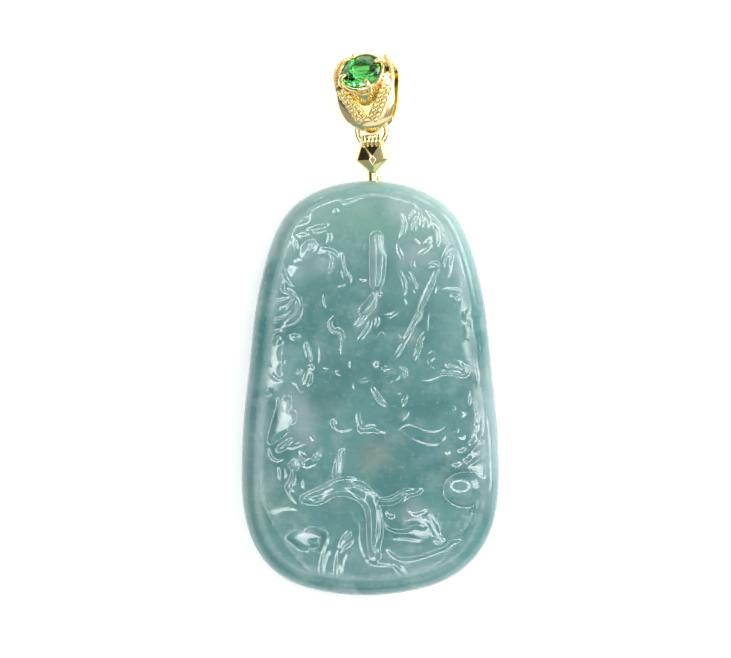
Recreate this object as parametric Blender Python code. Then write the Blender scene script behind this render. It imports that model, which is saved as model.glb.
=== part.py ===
"""Carved jade pendant with a gold bail, lying on its flat back.

The carved face looks up (+Z) and the bail lies at the top (+Y). The origin is the middle of the
plaque's flat back. All sizes are in metres.
"""

import math

import bmesh
import bpy
import numpy as np
from mathutils import Matrix, Vector

MM = 0.001

# Jade plaque
PLAQUE_HEIGHT = 42.0 * MM
PLAQUE_WIDTH = 26.1 * MM
EDGE_HEIGHT = 6.0 * MM
CROWN = 0.5 * MM
FRONT_ROUNDING = 2.4 * MM
BACK_ROUNDING = 1.8 * MM
FOOT_LEAN = 0.6 * MM
CARVING_DEPTH = 0.8 * MM
CARVED_MARGIN = 1.8 * MM
PEG_LEVEL = 3.1 * MM

# Half widths of the outline, foot to top: share of the half width, share of the height
OUTLINE = ((0.57, 0.031), (0.82, 0.089), (0.96, 0.176), (1.0, 0.305), (0.98, 0.437),
           (0.94, 0.553), (0.90, 0.669), (0.83, 0.785), (0.69, 0.901), (0.51, 0.959))
OUTLINE_WAVES = 14

# The carving is drawn on squared paper of this size, with its zero in the middle
DRAWING_WIDTH = 25.8
DRAWING_HEIGHT = 41.4
DRAWING_STEP = 0.12
POLISH = 0.26
DOME_FULLNESS = 0.8
LIMB_TIP = 0.6

# Peg and cap
PEG_X = 0.3 * MM
PEG_DIAMETER = 1.3 * MM
PEG_DEPTH = 1.8 * MM
PEG_CLEARANCE = 0.15 * MM
HOLE_SPARE_DEPTH = 0.4 * MM
CAP_STAND = 0.55 * MM
CAP_HEIGHT = 3.55 * MM
CAP_BELLY_HEIGHT = 1.55 * MM
CAP_WIDTH = 3.6 * MM
CAP_TOP_WIDTH = 2.2 * MM
CAP_DEPTH = 3.0 * MM
CAP_EDGE = 0.9 * MM
CAP_FACE_DEPTH = 1.9 * MM
CAP_FACE_SHARE = 0.86
CAP_TABLE = 0.7 * MM
CAP_EYE_DROP = 0.6 * MM
CAP_EYE_WIDTH = 1.2 * MM
CAP_EYE_BAND = 0.43 * MM
CAP_SLOT_PLAY = 0.17 * MM
CAP_SLOT_SPARE = 0.1 * MM
CAP_LEAN = 3.0

# Link ring
LINK_RADIUS = 1.5 * MM
LINK_WIRE = 0.56 * MM
LINK_PLAY = 0.22 * MM
LINK_YAW = 7.0

# Bail
BAIL_REACH = 3.8 * MM
BAIL_TOP_RADIUS = 2.3 * MM
BAIL_EYE_RADIUS = 1.3 * MM
BAIL_TOP_BAND = 0.6 * MM
BAIL_EYE_BAND = 0.5 * MM
BAIL_SHOULDER = 6.4 * MM
BAIL_BACK_SHARE = 0.85
BAIL_EDGE_FALL = 0.18 * MM
BAIL_CROWN = ((-1, 1), (-0.6, 0.25), (0, 0), (0.6, 0.25), (1, 1))
BAIL_LEAN = 5.0
BAIL_YAW = 14.0

# The crown across the strap is in half widths and in shares of its fall. The widths of the strap
# are in shares of the shoulder, by the degrees that its face leans up
FOOT_WIDTHS = ((-90, 0.19), (-74, 0.22), (-62, 0.35), (-49, 0.63), (-34, 0.74), (0, 0.86))
CREST_WIDTHS = ((-10, 0.95), (6, 1.0), (30, 0.97), (57, 0.83), (90, 0.69))

# Two bars of beads that meet in a V
BAR_FOOT = (0.6 * MM, 0.25 * MM)
BAR_TOP = (2.5 * MM, 3.3 * MM)
BAR_WIDTH = 1.2 * MM
BAR_RISE = 0.3 * MM
BEAD_DIAMETER = 0.48 * MM
BEAD_ROWS = 2
BEADS_A_ROW = 7
BEAD_STAGGER = 0.25

# Green stone and its collet
STONE_DIAMETER = 3.9 * MM
STONE_CROWN = 0.62 * MM
STONE_PAVILION = 1.1 * MM
STONE_GIRDLE = 0.12 * MM
STONE_TABLE_SHARE = 0.56
STONE_CROWN_KINK = (0.82, 0.6)
STONE_PAVILION_KINK = (0.5, 0.56)
STONE_HEIGHT = 4.47 * MM
STONE_TILT = 35.0
STONE_CLEARANCE = 0.15 * MM
COLLET_WALL = 0.3 * MM
COLLET_DEPTH = 1.0 * MM
COLLET_TAPER = 0.3 * MM
COLLET_STAND = 0.55 * MM
COLLET_SIDES = 24
PEDESTAL_RADIUS = 1.2 * MM
PEDESTAL_HEIGHT = 3.0 * MM
PRONG_DIAMETER = 0.5 * MM
PRONG_TIP_DIAMETER = 0.4 * MM
PRONG_COUNT = 4
PRONG_START = -65.0
PRONG_RISE = 0.42 * MM

# Levels and places that follow from the sizes
CAP_FOOT_Y = PLAQUE_HEIGHT / 2 + CAP_STAND
CAP_EYE_HEIGHT = CAP_HEIGHT - CAP_EYE_DROP
CAP_EYE_HOLE = LINK_WIRE / 2 + LINK_PLAY
LINK_X = PEG_X - CAP_EYE_HEIGHT * math.sin(math.radians(CAP_LEAN))
LINK_Y = CAP_FOOT_Y + CAP_EYE_HEIGHT * math.cos(math.radians(CAP_LEAN)) + LINK_RADIUS
BAIL_Y = LINK_Y + LINK_RADIUS
BAIL_EYE_OUTER = BAIL_EYE_RADIUS + BAIL_EYE_BAND
SLOPE = math.asin((BAIL_TOP_RADIUS - BAIL_EYE_OUTER) / BAIL_REACH)

GOLD = (0.86, 0.60, 0.20, 1.0)
JADE = (0.27, 0.50, 0.46, 1.0)
GREEN = (0.02, 0.42, 0.07, 1.0)


def clear_scene():
    for thing in list(bpy.data.objects):
        bpy.data.objects.remove(thing, do_unlink=True)


def material(name, colour, roughness, metallic):
    made = bpy.data.materials.new(name)
    made.use_nodes = True
    shader = made.node_tree.nodes["Principled BSDF"]
    shader.inputs["Base Color"].default_value = colour
    shader.inputs["Roughness"].default_value = roughness
    shader.inputs["Metallic"].default_value = metallic
    made.diffuse_color = colour
    return made


def make_object(name, mesh_builder, finish=None, sharp_angle=35.0):
    """Turn a bmesh into an object, with its normals facing out."""
    bmesh.ops.recalc_face_normals(mesh_builder, faces=mesh_builder.faces)
    mesh = bpy.data.meshes.new(name)
    mesh_builder.to_mesh(mesh)
    mesh_builder.free()
    mesh.shade_smooth()
    mesh.set_sharp_from_angle(angle=math.radians(sharp_angle))
    made = bpy.data.objects.new(name, mesh)
    bpy.context.collection.objects.link(made)
    if finish:
        mesh.materials.append(finish)
    return made


def combine(target, tool, operation):
    """Add a Boolean to the target, and hide the tool that it uses."""
    step = target.modifiers.new(tool.name, "BOOLEAN")
    step.operation = operation
    step.solver = "EXACT"
    step.object = tool
    tool.hide_render = True
    tool.display_type = "WIRE"


def hull(points):
    """The convex body around some points."""
    body = bmesh.new()
    corners = [body.verts.new(point) for point in points]
    made = bmesh.ops.convex_hull(body, input=corners)
    spare = {item for item in made["geom_interior"] if isinstance(item, bmesh.types.BMVert)}
    bmesh.ops.delete(body, geom=list(spare), context="VERTS")
    flat = [edge for edge in body.edges if len(edge.link_faces) == 2 and edge.calc_face_angle() < 0.001]
    bmesh.ops.dissolve_edges(body, edges=flat, use_verts=False)
    return body


def cylinder(radius, low, high, sides=20, top_radius=None):
    """A round bar or cone along +Z between two levels."""
    body = bmesh.new()
    bmesh.ops.create_cone(body, cap_ends=True, segments=sides, radius1=radius,
                          radius2=radius if top_radius is None else top_radius,
                          depth=high - low, matrix=Matrix.Translation((0, 0, (low + high) / 2)))
    return body


def washer(inner, outer, width, sides=20):
    """A flat ring round the X axis."""
    body = bmesh.new()
    corners = ((inner, -width / 2), (outer, -width / 2), (outer, width / 2), (inner, width / 2))
    rings = []
    for place in range(sides):
        turn = 2 * math.pi * (place + 0.5) / sides
        rings.append([body.verts.new((x, r * math.cos(turn), r * math.sin(turn))) for r, x in corners])
    for here, after in zip(rings, rings[1:] + rings[:1]):
        for corner in range(4):
            beside = (corner + 1) % 4
            body.faces.new((here[corner], here[beside], after[beside], after[corner]))
    return body


# Smooth lines and the outline of the plaque

def smooth_path(knots, closed=False, steps=8):
    """Points on a smooth curve through the knots (a centripetal Catmull-Rom curve)."""
    knots = np.asarray(knots, float)
    if closed:
        chain = np.vstack([knots[-1], knots, knots[:2]])
    else:
        chain = np.vstack([2 * knots[0] - knots[1], knots, 2 * knots[-1] - knots[-2]])
    gaps = np.sqrt(np.linalg.norm(np.diff(chain, axis=0), axis=1))
    path = []
    for start in range(1, len(chain) - 2):
        before, first, last, after = chain[start - 1:start + 3]
        gap_before, gap, gap_after = gaps[start - 1:start + 2]
        middle = (last - first) / gap
        leave = gap * ((first - before) / gap_before - (last - before) / (gap_before + gap) + middle)
        arrive = gap * (middle - (after - first) / (gap + gap_after) + (after - last) / gap_after)
        for step in range(steps):
            t = step / steps
            path.append((2 * t**3 - 3 * t**2 + 1) * first + (t**3 - 2 * t**2 + t) * leave
                        + (3 * t**2 - 2 * t**3) * last + (t**3 - t**2) * arrive)
    if not closed:
        path.append(chain[-2])
    return np.array(path)


def outline(samples=720):
    """The plaque's closed outline, counter-clockwise, through the named half widths."""
    left = [(-across, up) for across, up in reversed(OUTLINE)]
    knots = np.array([(0.0, 0.0), *OUTLINE, (0.0, 1.0), *left])
    path = smooth_path(knots * (PLAQUE_WIDTH / 2, PLAQUE_HEIGHT), closed=True, steps=40)
    loop = np.vstack([path, path[:1]])
    walked = np.concatenate([[0], np.cumsum(np.linalg.norm(np.diff(loop, axis=0), axis=1))])
    even = np.linspace(0, walked[-1], samples, endpoint=False)
    waves = np.fft.fft(np.interp(even, walked, loop[:, 0]) + 1j * np.interp(even, walked, loop[:, 1]))
    waves[OUTLINE_WAVES:-OUTLINE_WAVES] = 0
    rounded = np.fft.ifft(waves)
    points = np.stack([rounded.real, rounded.imag], axis=1)
    low, high = points.min(axis=0), points.max(axis=0)
    points = (points - (low + high) / 2) * (PLAQUE_WIDTH, PLAQUE_HEIGHT) / (high - low)
    below_top = np.clip(0.5 - points[:, 1] / PLAQUE_HEIGHT, 0, 1)
    points[:, 0] -= FOOT_LEAN * below_top ** 12
    return points


def outward(points):
    """The outward direction at each point of a counter-clockwise loop."""
    along = np.roll(points, -1, axis=0) - np.roll(points, 1, axis=0)
    aside = np.stack([along[:, 1], -along[:, 0]], axis=1)
    return aside / np.linalg.norm(aside, axis=1, keepdims=True)


# Carving of the front, in squares of the drawing

def drawing_paper():
    """The squares of the drawing: u to the right, v up."""
    return np.meshgrid(np.arange(-DRAWING_WIDTH / 2 - 1, DRAWING_WIDTH / 2 + 1, DRAWING_STEP),
                       np.arange(-DRAWING_HEIGHT / 2 - 1, DRAWING_HEIGHT / 2 + 1, DRAWING_STEP))


def across_size(u, v, at, size, turn=0.0):
    """Squared distance from a centre along two turned axes, as a share of the two sizes."""
    c, s = math.cos(math.radians(turn)), math.sin(math.radians(turn))
    du, dv = u - at[0], v - at[1]
    return ((du * c + dv * s) / size[0]) ** 2 + ((dv * c - du * s) / size[1]) ** 2


def swell(height, at, size, turn=0.0):
    """A soft rise, or a hollow where the height is below zero."""
    def cut(z, u, v):
        return z + height * np.exp(-across_size(u, v, at, size, turn))
    return cut


def boulder(height, foot, at, size, turn=0.0):
    """A round boulder or tuft that stands on a level of its own."""
    def cut(z, u, v):
        dome = np.clip(1 - across_size(u, v, at, size, turn), 0, 1) ** DOME_FULLNESS
        return np.where(dome > 0, np.maximum(z, foot + (height - foot) * dome), z)
    return cut


def limb(height, foot, knots, width):
    """A rounded ridge along a smooth line, thinner at its ends, on a level of its own."""
    def cut(z, u, v):
        path = smooth_path(knots)
        best = np.zeros_like(u)
        for place, (start, end) in enumerate(zip(path[:-1], path[1:])):
            run = end - start
            share = np.clip(((u - start[0]) * run[0] + (v - start[1]) * run[1]) / (run @ run), 0, 1)
            gap = np.hypot(u - start[0] - share * run[0], v - start[1] - share * run[1])
            along = (place + share) / (len(path) - 1)
            here = width * (LIMB_TIP + (1 - LIMB_TIP) * np.sin(math.pi * np.clip(along, 0, 1)))
            best = np.maximum(best, np.clip(1 - (gap / here) ** 2, 0, 1))
        return np.where(best > 0, np.maximum(z, foot + (height - foot) * best), z)
    return cut


def carving_steps():
    """The forms of the landscape, in the order in which they are laid over each other."""
    steps = [
        # The sunk field, the mountain face and the hollows between the rocks
        swell(-0.25, (0.0, 1.0), (9.0, 14.0)), swell(0.30, (5.6, 14.6), (2.4, 3.8), 10),
        swell(-0.30, (0.4, -6.8), (3.0, 2.2)), swell(-0.30, (-6.2, -15.2), (2.0, 1.2)),
        swell(-0.25, (-6.3, -2.4), (2.2, 1.6)), swell(-0.22, (-1.4, 13.4), (2.0, 2.4)),
        swell(-0.28, (5.6, 8.4), (1.4, 2.4), -20), swell(-0.28, (5.2, -15.0), (2.2, 1.2)),
        # Top edge, mountain crest and finger rock
        limb(0.24, -0.3, [(-2.6, 18.2), (-0.4, 19.2), (2.0, 19.2)], 0.8),
        limb(0.20, -0.3, [(3.1, 17.0), (3.4, 15.4), (2.8, 13.6), (3.2, 11.4), (3.0, 8.9)], 0.7),
        limb(0.40, -0.3, [(4.5, 18.2), (5.1, 16.6), (5.4, 15.0)], 0.8),
        limb(0.18, -0.4, [(0.6, 15.3), (1.1, 13.4), (1.2, 11.9), (0.9, 10.1)], 0.9),
        limb(0.30, -0.3, [(6.9, 11.7), (7.4, 13.2), (8.3, 13.9), (9.2, 13.3)], 0.7),
        # Pine foliage at the upper left
        boulder(0.50, -0.15, (-6.9, 16.3), (1.9, 1.4), 10),
        boulder(0.46, -0.15, (-4.8, 15.6), (1.6, 1.1), 12),
        boulder(0.34, -0.15, (-8.3, 13.7), (1.0, 1.3)), boulder(0.42, -0.15, (-6.4, 13.8), (1.2, 1.1)),
        boulder(0.44, -0.15, (-4.3, 14.1), (1.1, 1.4)), boulder(0.44, -0.15, (-7.2, 11.4), (1.3, 1.2)),
        boulder(0.50, -0.15, (-4.7, 11.9), (1.4, 1.4)),
        limb(0.20, -0.3, [(-2.8, 13.4), (-2.6, 11.6), (-2.1, 10.0)], 0.6),
        # Leaning slab and the wing-shaped rocks beside it
        limb(0.30, -0.4, [(6.2, 12.1), (5.2, 9.6), (4.4, 7.4), (3.9, 6.0)], 1.1),
        limb(0.26, -0.4, [(1.0, 9.7), (0.0, 8.6), (-1.2, 7.5)], 0.9),
        limb(0.22, -0.4, [(0.1, 7.2), (-0.4, 6.2), (-1.4, 4.9)], 0.8),
        limb(0.22, -0.4, [(4.9, 5.6), (3.9, 4.2), (2.4, 2.8)], 0.8),
        # Fan of leaves, vine and ring
        limb(0.28, -0.3, [(-7.4, 9.5), (-6.7, 8.0), (-7.2, 6.9), (-8.6, 6.2)], 0.9),
        limb(0.16, -0.35, [(-4.6, 9.2), (-4.2, 7.6), (-3.4, 6.0), (-2.6, 4.2)], 0.6),
        # Bell-shaped rocks at the left
        boulder(0.46, -0.25, (-9.5, 2.8), (1.2, 2.5)), boulder(0.52, -0.25, (-7.2, 2.9), (1.4, 2.8)),
        boulder(0.34, -0.25, (-5.2, 2.3), (1.0, 2.2)), boulder(0.40, -0.25, (-9.2, 0.7), (1.4, 1.4)),
        boulder(0.42, -0.25, (-7.0, 0.5), (1.4, 1.4)),
        # Tall rock and broken rock at the right
        boulder(0.58, -0.3, (8.1, 6.4), (2.3, 3.4), 4), boulder(0.42, -0.3, (7.3, 2.2), (2.6, 1.3), -14),
        # Crossing leaves in the middle
        limb(0.24, -0.35, [(-2.3, 2.3), (-0.9, 2.9), (0.4, 2.4)], 0.7),
        limb(0.26, -0.35, [(-1.6, 0.3), (0.2, 0.8), (2.4, 1.9)], 0.8),
        limb(0.28, -0.35, [(0.2, 0.1), (1.0, -1.3), (2.2, -1.9), (3.6, -0.9)], 0.7),
        limb(0.22, -0.35, [(2.6, 1.8), (3.0, 0.6), (2.4, -0.4)], 0.7),
        limb(0.26, -0.35, [(-3.6, -3.4), (-2.4, -4.2), (0.2, -4.0), (1.9, -4.4)], 0.6),
        # Cloud band and long leaf
        limb(0.30, -0.35, [(2.3, -4.4), (3.6, -3.5), (5.4, -3.9), (7.4, -3.7)], 0.7),
        limb(0.24, -0.35, [(3.4, -4.4), (5.0, -5.0), (7.0, -5.4)], 0.7),
        # Foliage at the lower left and the slope above it
        swell(0.30, (-8.2, -2.4), (1.3, 2.4), -12), boulder(0.38, -0.2, (-8.3, -5.6), (1.7, 1.1), 25),
        boulder(0.38, -0.2, (-6.4, -5.1), (1.6, 1.0), 12), boulder(0.34, -0.2, (-8.8, -7.3), (1.2, 1.1)),
        boulder(0.40, -0.2, (-5.2, -6.6), (1.5, 1.3), 10),
        limb(0.28, -0.3, [(-6.9, -6.2), (-7.9, -7.6), (-7.6, -10.0)], 0.7),
        swell(0.30, (-2.9, -7.6), (0.9, 1.9)),
        # Smooth boulder at the lower right
        boulder(0.80, -0.4, (8.6, -10.6), (3.4, 3.6), -6),
        # Bent tree and its roots
        limb(0.52, -0.3, [(-6.8, -11.4), (-5.4, -11.2), (-4.0, -10.4), (-2.2, -10.0), (-0.4, -10.8)], 1.1),
        limb(0.56, -0.3, [(-0.9, -10.4), (-0.1, -12.2), (-0.1, -14.4), (0.3, -16.8)], 1.3),
        limb(0.40, -0.3, [(0.4, -11.4), (2.0, -11.3), (3.4, -10.6), (5.1, -10.1)], 0.8),
        limb(0.20, -0.3, [(1.5, -13.2), (2.6, -13.9), (5.5, -13.8)], 0.7),
        limb(0.26, -0.3, [(2.2, -16.2), (3.8, -16.8), (6.0, -16.2), (9.0, -14.8)], 0.7)]
    # Rows of bark scales at the right, and the roots below the tree
    for row in range(4):
        steps += [boulder(0.24, -0.2, (8.0 + 1.5 * column + 0.5 * (row % 2), -1.2 - 1.5 * row), (0.8, 0.7))
                  for column in range(3)]
    steps += [limb(0.20, -0.3, [(foot + 0.8, -14.8), (foot, -16.8), (foot, -18.6)], 0.55)
              for foot in (-4.8, -3.5, -2.2)]
    return steps


def smooth(field, reach):
    """Smooth a field of squares over a reach in the drawing."""
    radius = int(3 * reach / DRAWING_STEP) + 1
    weights = np.exp(-0.5 * (np.arange(-radius, radius + 1) * DRAWING_STEP / reach) ** 2)
    for axis in (0, 1):
        field = np.apply_along_axis(lambda line: np.convolve(np.pad(line, radius, mode="edge"),
                                                             weights / weights.sum(), "valid"), axis, field)
    return field


def landscape():
    """The carving on the squares of the drawing, in shares of its depth."""
    u, v = drawing_paper()
    z = np.zeros_like(u)
    for cut in carving_steps():
        z = cut(z, u, v)
    return smooth(z, POLISH)


def read_drawing(field, x, y):
    """Values of a drawn field at places on the plaque."""
    u, v = drawing_paper()
    column = (x / PLAQUE_WIDTH * DRAWING_WIDTH - u[0, 0]) / DRAWING_STEP
    row = (y / PLAQUE_HEIGHT * DRAWING_HEIGHT - v[0, 0]) / DRAWING_STEP
    left = np.clip(column.astype(int), 0, field.shape[1] - 2)
    below = np.clip(row.astype(int), 0, field.shape[0] - 2)
    a, b = np.clip(column - left, 0, 1), np.clip(row - below, 0, 1)
    low = field[below, left] * (1 - a) + field[below, left + 1] * a
    high = field[below + 1, left] * (1 - a) + field[below + 1, left + 1] * a
    return low * (1 - b) + high * b


# Jade plaque

def front_level(carved, x, y, depth_in):
    """Level of the carved front: a crowned face, its rounded edge and the carving."""
    around = np.hypot(x / (PLAQUE_WIDTH / 2), y / (PLAQUE_HEIGHT / 2))
    crown = CROWN * np.clip(1 - around ** 2, 0, 1)
    fall = np.sqrt(np.clip(1 - np.clip(1 - depth_in / FRONT_ROUNDING, 0, 1) ** 2, 0, 1))
    level = PEG_LEVEL + (EDGE_HEIGHT - PEG_LEVEL + crown) * fall
    kept = np.clip(depth_in / CARVED_MARGIN, 0, 1)
    return level + CARVING_DEPTH * read_drawing(carved, x, y) * kept * kept * (3 - 2 * kept)


def make_jade(cells_across=38, cells_up=58, edge_steps=3):
    """A grid laid over the face, then rings round the edge and down to the flat back."""
    carved = landscape()
    rim = outline()
    inner = rim - outward(rim) * FRONT_ROUNDING
    angle = np.unwrap(np.arctan2(inner[:, 1], inner[:, 0]))
    body = bmesh.new()
    bmesh.ops.create_grid(body, x_segments=cells_across, y_segments=cells_up, size=1.0)
    flat = np.array([vert.co[:2] for vert in body.verts])
    a, b = flat[:, 0], flat[:, 1]
    disc = np.stack([a * np.sqrt(1 - b * b / 2), b * np.sqrt(1 - a * a / 2)], axis=1)
    share = np.hypot(disc[:, 0], disc[:, 1])
    turn = np.arctan2(disc[:, 1] * PLAQUE_HEIGHT, disc[:, 0] * PLAQUE_WIDTH)
    turn = angle[0] + (turn - angle[0]) % (2 * math.pi)
    loop = np.append(angle, angle[0] + 2 * math.pi)
    reach = np.interp(turn, loop, np.append(np.hypot(*inner.T), math.hypot(*inner[0])))
    x, y = share * reach * np.cos(turn), share * reach * np.sin(turn)
    gap = np.array([np.hypot(rim[:, 0] - px, rim[:, 1] - py).min() for px, py in zip(x, y)])
    z = front_level(carved, x, y, gap)
    for vert, px, py, pz in zip(body.verts, x, y, z):
        vert.co = (px, py, pz)

    edge = [item for item in body.edges if item.is_boundary]
    border = sorted({vert for item in edge for vert in item.verts},
                    key=lambda vert: math.atan2(vert.co.y, vert.co.x))
    inside = np.array([vert.co[:2] for vert in border])
    aside = outward(inside)
    widest = inside + aside * FRONT_ROUNDING
    quarter = math.pi / 2
    rings = []
    for step in range(1, edge_steps + 1):
        out = FRONT_ROUNDING * math.sin(quarter * step / edge_steps)
        place = inside + aside * out
        level = front_level(carved, place[:, 0], place[:, 1], np.full(len(place), FRONT_ROUNDING - out))
        rings.append((place, level))
    for step in range(1, edge_steps + 1):
        part = quarter * step / edge_steps
        place = widest - aside * BACK_ROUNDING * (1 - math.cos(part))
        rings.append((place, np.full(len(place), PEG_LEVEL * (1 - math.sin(part)))))
    for place, level in rings:
        ring = [body.verts.new((px, py, pz)) for (px, py), pz in zip(place, level)]
        for here in range(len(ring)):
            after = (here + 1) % len(ring)
            body.faces.new((border[here], border[after], ring[after], ring[here]))
        border = ring
    body.faces.new(border)
    return make_object("jade_plaque", body, material("jade", JADE, 0.18, 0.0), 60)


# Cap, in a frame of its own: zero at its foot, +Y to its eye, +Z out of its front

TO_CAP = (Matrix.Translation((PEG_X, CAP_FOOT_Y, PEG_LEVEL))
          @ Matrix.Rotation(math.radians(CAP_LEAN), 4, "Z"))


def drill_jade(jade):
    """The blind hole in the top edge that the peg is glued into."""
    radius = PEG_DIAMETER / 2 + PEG_CLEARANCE
    drill = cylinder(radius, 0, PEG_DEPTH + HOLE_SPARE_DEPTH + CAP_STAND)
    drill.transform(TO_CAP @ Matrix.Rotation(math.pi / 2, 4, "X"))
    combine(jade, make_object("peg_drill", drill), "DIFFERENCE")


def make_cap(gold):
    """A kite-shaped faceted body, slotted for the ring, with an eye on top and a peg below."""
    kite = ((0, 0), (CAP_WIDTH / 2, CAP_BELLY_HEIGHT), (CAP_TOP_WIDTH / 2, CAP_HEIGHT),
            (-CAP_TOP_WIDTH / 2, CAP_HEIGHT), (-CAP_WIDTH / 2, CAP_BELLY_HEIGHT))
    table = ((0, -CAP_TABLE), (CAP_TABLE / 2, 0), (0, CAP_TABLE / 2), (-CAP_TABLE / 2, 0))
    points = []
    for side in (-1, 1):
        for x, y in kite:
            points.append((x, y, side * CAP_EDGE / 2))
            points.append((x * CAP_FACE_SHARE, CAP_BELLY_HEIGHT + (y - CAP_BELLY_HEIGHT) * CAP_FACE_SHARE,
                           side * CAP_FACE_DEPTH / 2))
        points += [(x, CAP_BELLY_HEIGHT + y, side * CAP_DEPTH / 2) for x, y in table]
    body = hull(points)
    body.transform(TO_CAP)
    cap = make_object("peg_cap", body, gold, 5)

    slot = bmesh.new()
    bmesh.ops.create_cube(slot, size=1.0)
    slot_foot = CAP_EYE_HEIGHT - CAP_EYE_HOLE - CAP_SLOT_SPARE
    slot_width = LINK_WIRE + 2 * CAP_SLOT_PLAY
    slot.transform(TO_CAP @ Matrix.Translation((0, slot_foot + CAP_HEIGHT / 2, 0))
                   @ Matrix.Diagonal((2 * CAP_WIDTH, CAP_HEIGHT, slot_width, 1)))
    combine(cap, make_object("cap_slot", slot), "DIFFERENCE")

    eye = washer(CAP_EYE_HOLE, CAP_EYE_HOLE + CAP_EYE_BAND, CAP_EYE_WIDTH)
    eye.transform(TO_CAP @ Matrix.Translation((0, CAP_EYE_HEIGHT, 0)))
    combine(cap, make_object("cap_eye", eye), "UNION")

    peg = cylinder(PEG_DIAMETER / 2, -CAP_BELLY_HEIGHT / 2, CAP_STAND + PEG_DEPTH, 16)
    peg.transform(TO_CAP @ Matrix.Rotation(math.pi / 2, 4, "X"))
    combine(cap, make_object("peg", peg), "UNION")


# Link ring

def make_link(gold, turns=28, sides=8):
    """A round ring of wire, nearly flat to the picture."""
    ring = bmesh.new()
    upright = Matrix.Rotation(math.pi / 2, 4, "X")
    bmesh.ops.create_circle(ring, segments=sides, radius=LINK_WIRE / 2,
                            matrix=Matrix.Translation((LINK_RADIUS, 0, 0)) @ upright)
    bmesh.ops.spin(ring, geom=ring.verts[:] + ring.edges[:], axis=(0, 0, 1), cent=(0, 0, 0),
                   angle=2 * math.pi, steps=turns, use_merge=True)
    bmesh.ops.remove_doubles(ring, verts=ring.verts, dist=LINK_WIRE / 1000)
    ring.transform(Matrix.Translation((LINK_X, LINK_Y, PEG_LEVEL))
                   @ Matrix.Rotation(math.radians(-LINK_YAW), 4, "Y"))
    make_object("link_ring", ring, gold, 60)


# Bail, in a frame of its own: zero at its eye's middle, +Y to its crest, +Z out of its front

TO_BAIL = (Matrix.Translation((LINK_X, BAIL_Y, PEG_LEVEL)) @ Matrix.Rotation(math.radians(BAIL_LEAN), 4, "Z")
           @ Matrix.Rotation(math.radians(-BAIL_YAW), 4, "Y"))
TO_FRONT = Matrix.Rotation(SLOPE, 4, "X") @ Matrix.Translation((0, 0, BAIL_EYE_OUTER))


def bail_stations():
    """Stations round the strap: its outer and inner edge in Y and Z, and its half width."""
    stations = []

    def add(lean, centre, outer, inner, widths):
        y, z = math.sin(lean), math.cos(lean)
        half_width = BAIL_SHOULDER / 2 * np.interp(math.degrees(lean), *zip(*widths))
        stations.append(((centre + outer * y, outer * z), (centre + inner * y, inner * z), half_width))

    for lean in np.linspace(-math.pi / 2, -SLOPE, 8):
        add(lean, 0, BAIL_EYE_OUTER, BAIL_EYE_RADIUS, FOOT_WIDTHS)
    for lean in np.linspace(-SLOPE, math.pi / 2, 10):
        add(lean, BAIL_REACH, BAIL_TOP_RADIUS, BAIL_TOP_RADIUS - BAIL_TOP_BAND, CREST_WIDTHS)
    tongue = stations[0][2]
    back = [((oy, -oz), (iy, -iz), max(half_width * BAIL_BACK_SHARE, tongue))
            for (oy, oz), (iy, iz), half_width in reversed(stations[1:-1])]
    return stations + back


def front_of_bail(y):
    """Level of the strap's outer front face at a height on it."""
    high = BAIL_REACH - BAIL_TOP_RADIUS * math.sin(SLOPE)
    if y > high:
        return math.sqrt(BAIL_TOP_RADIUS ** 2 - (y - BAIL_REACH) ** 2)
    return BAIL_EYE_OUTER / math.cos(SLOPE) + y * math.tan(SLOPE)


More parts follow.
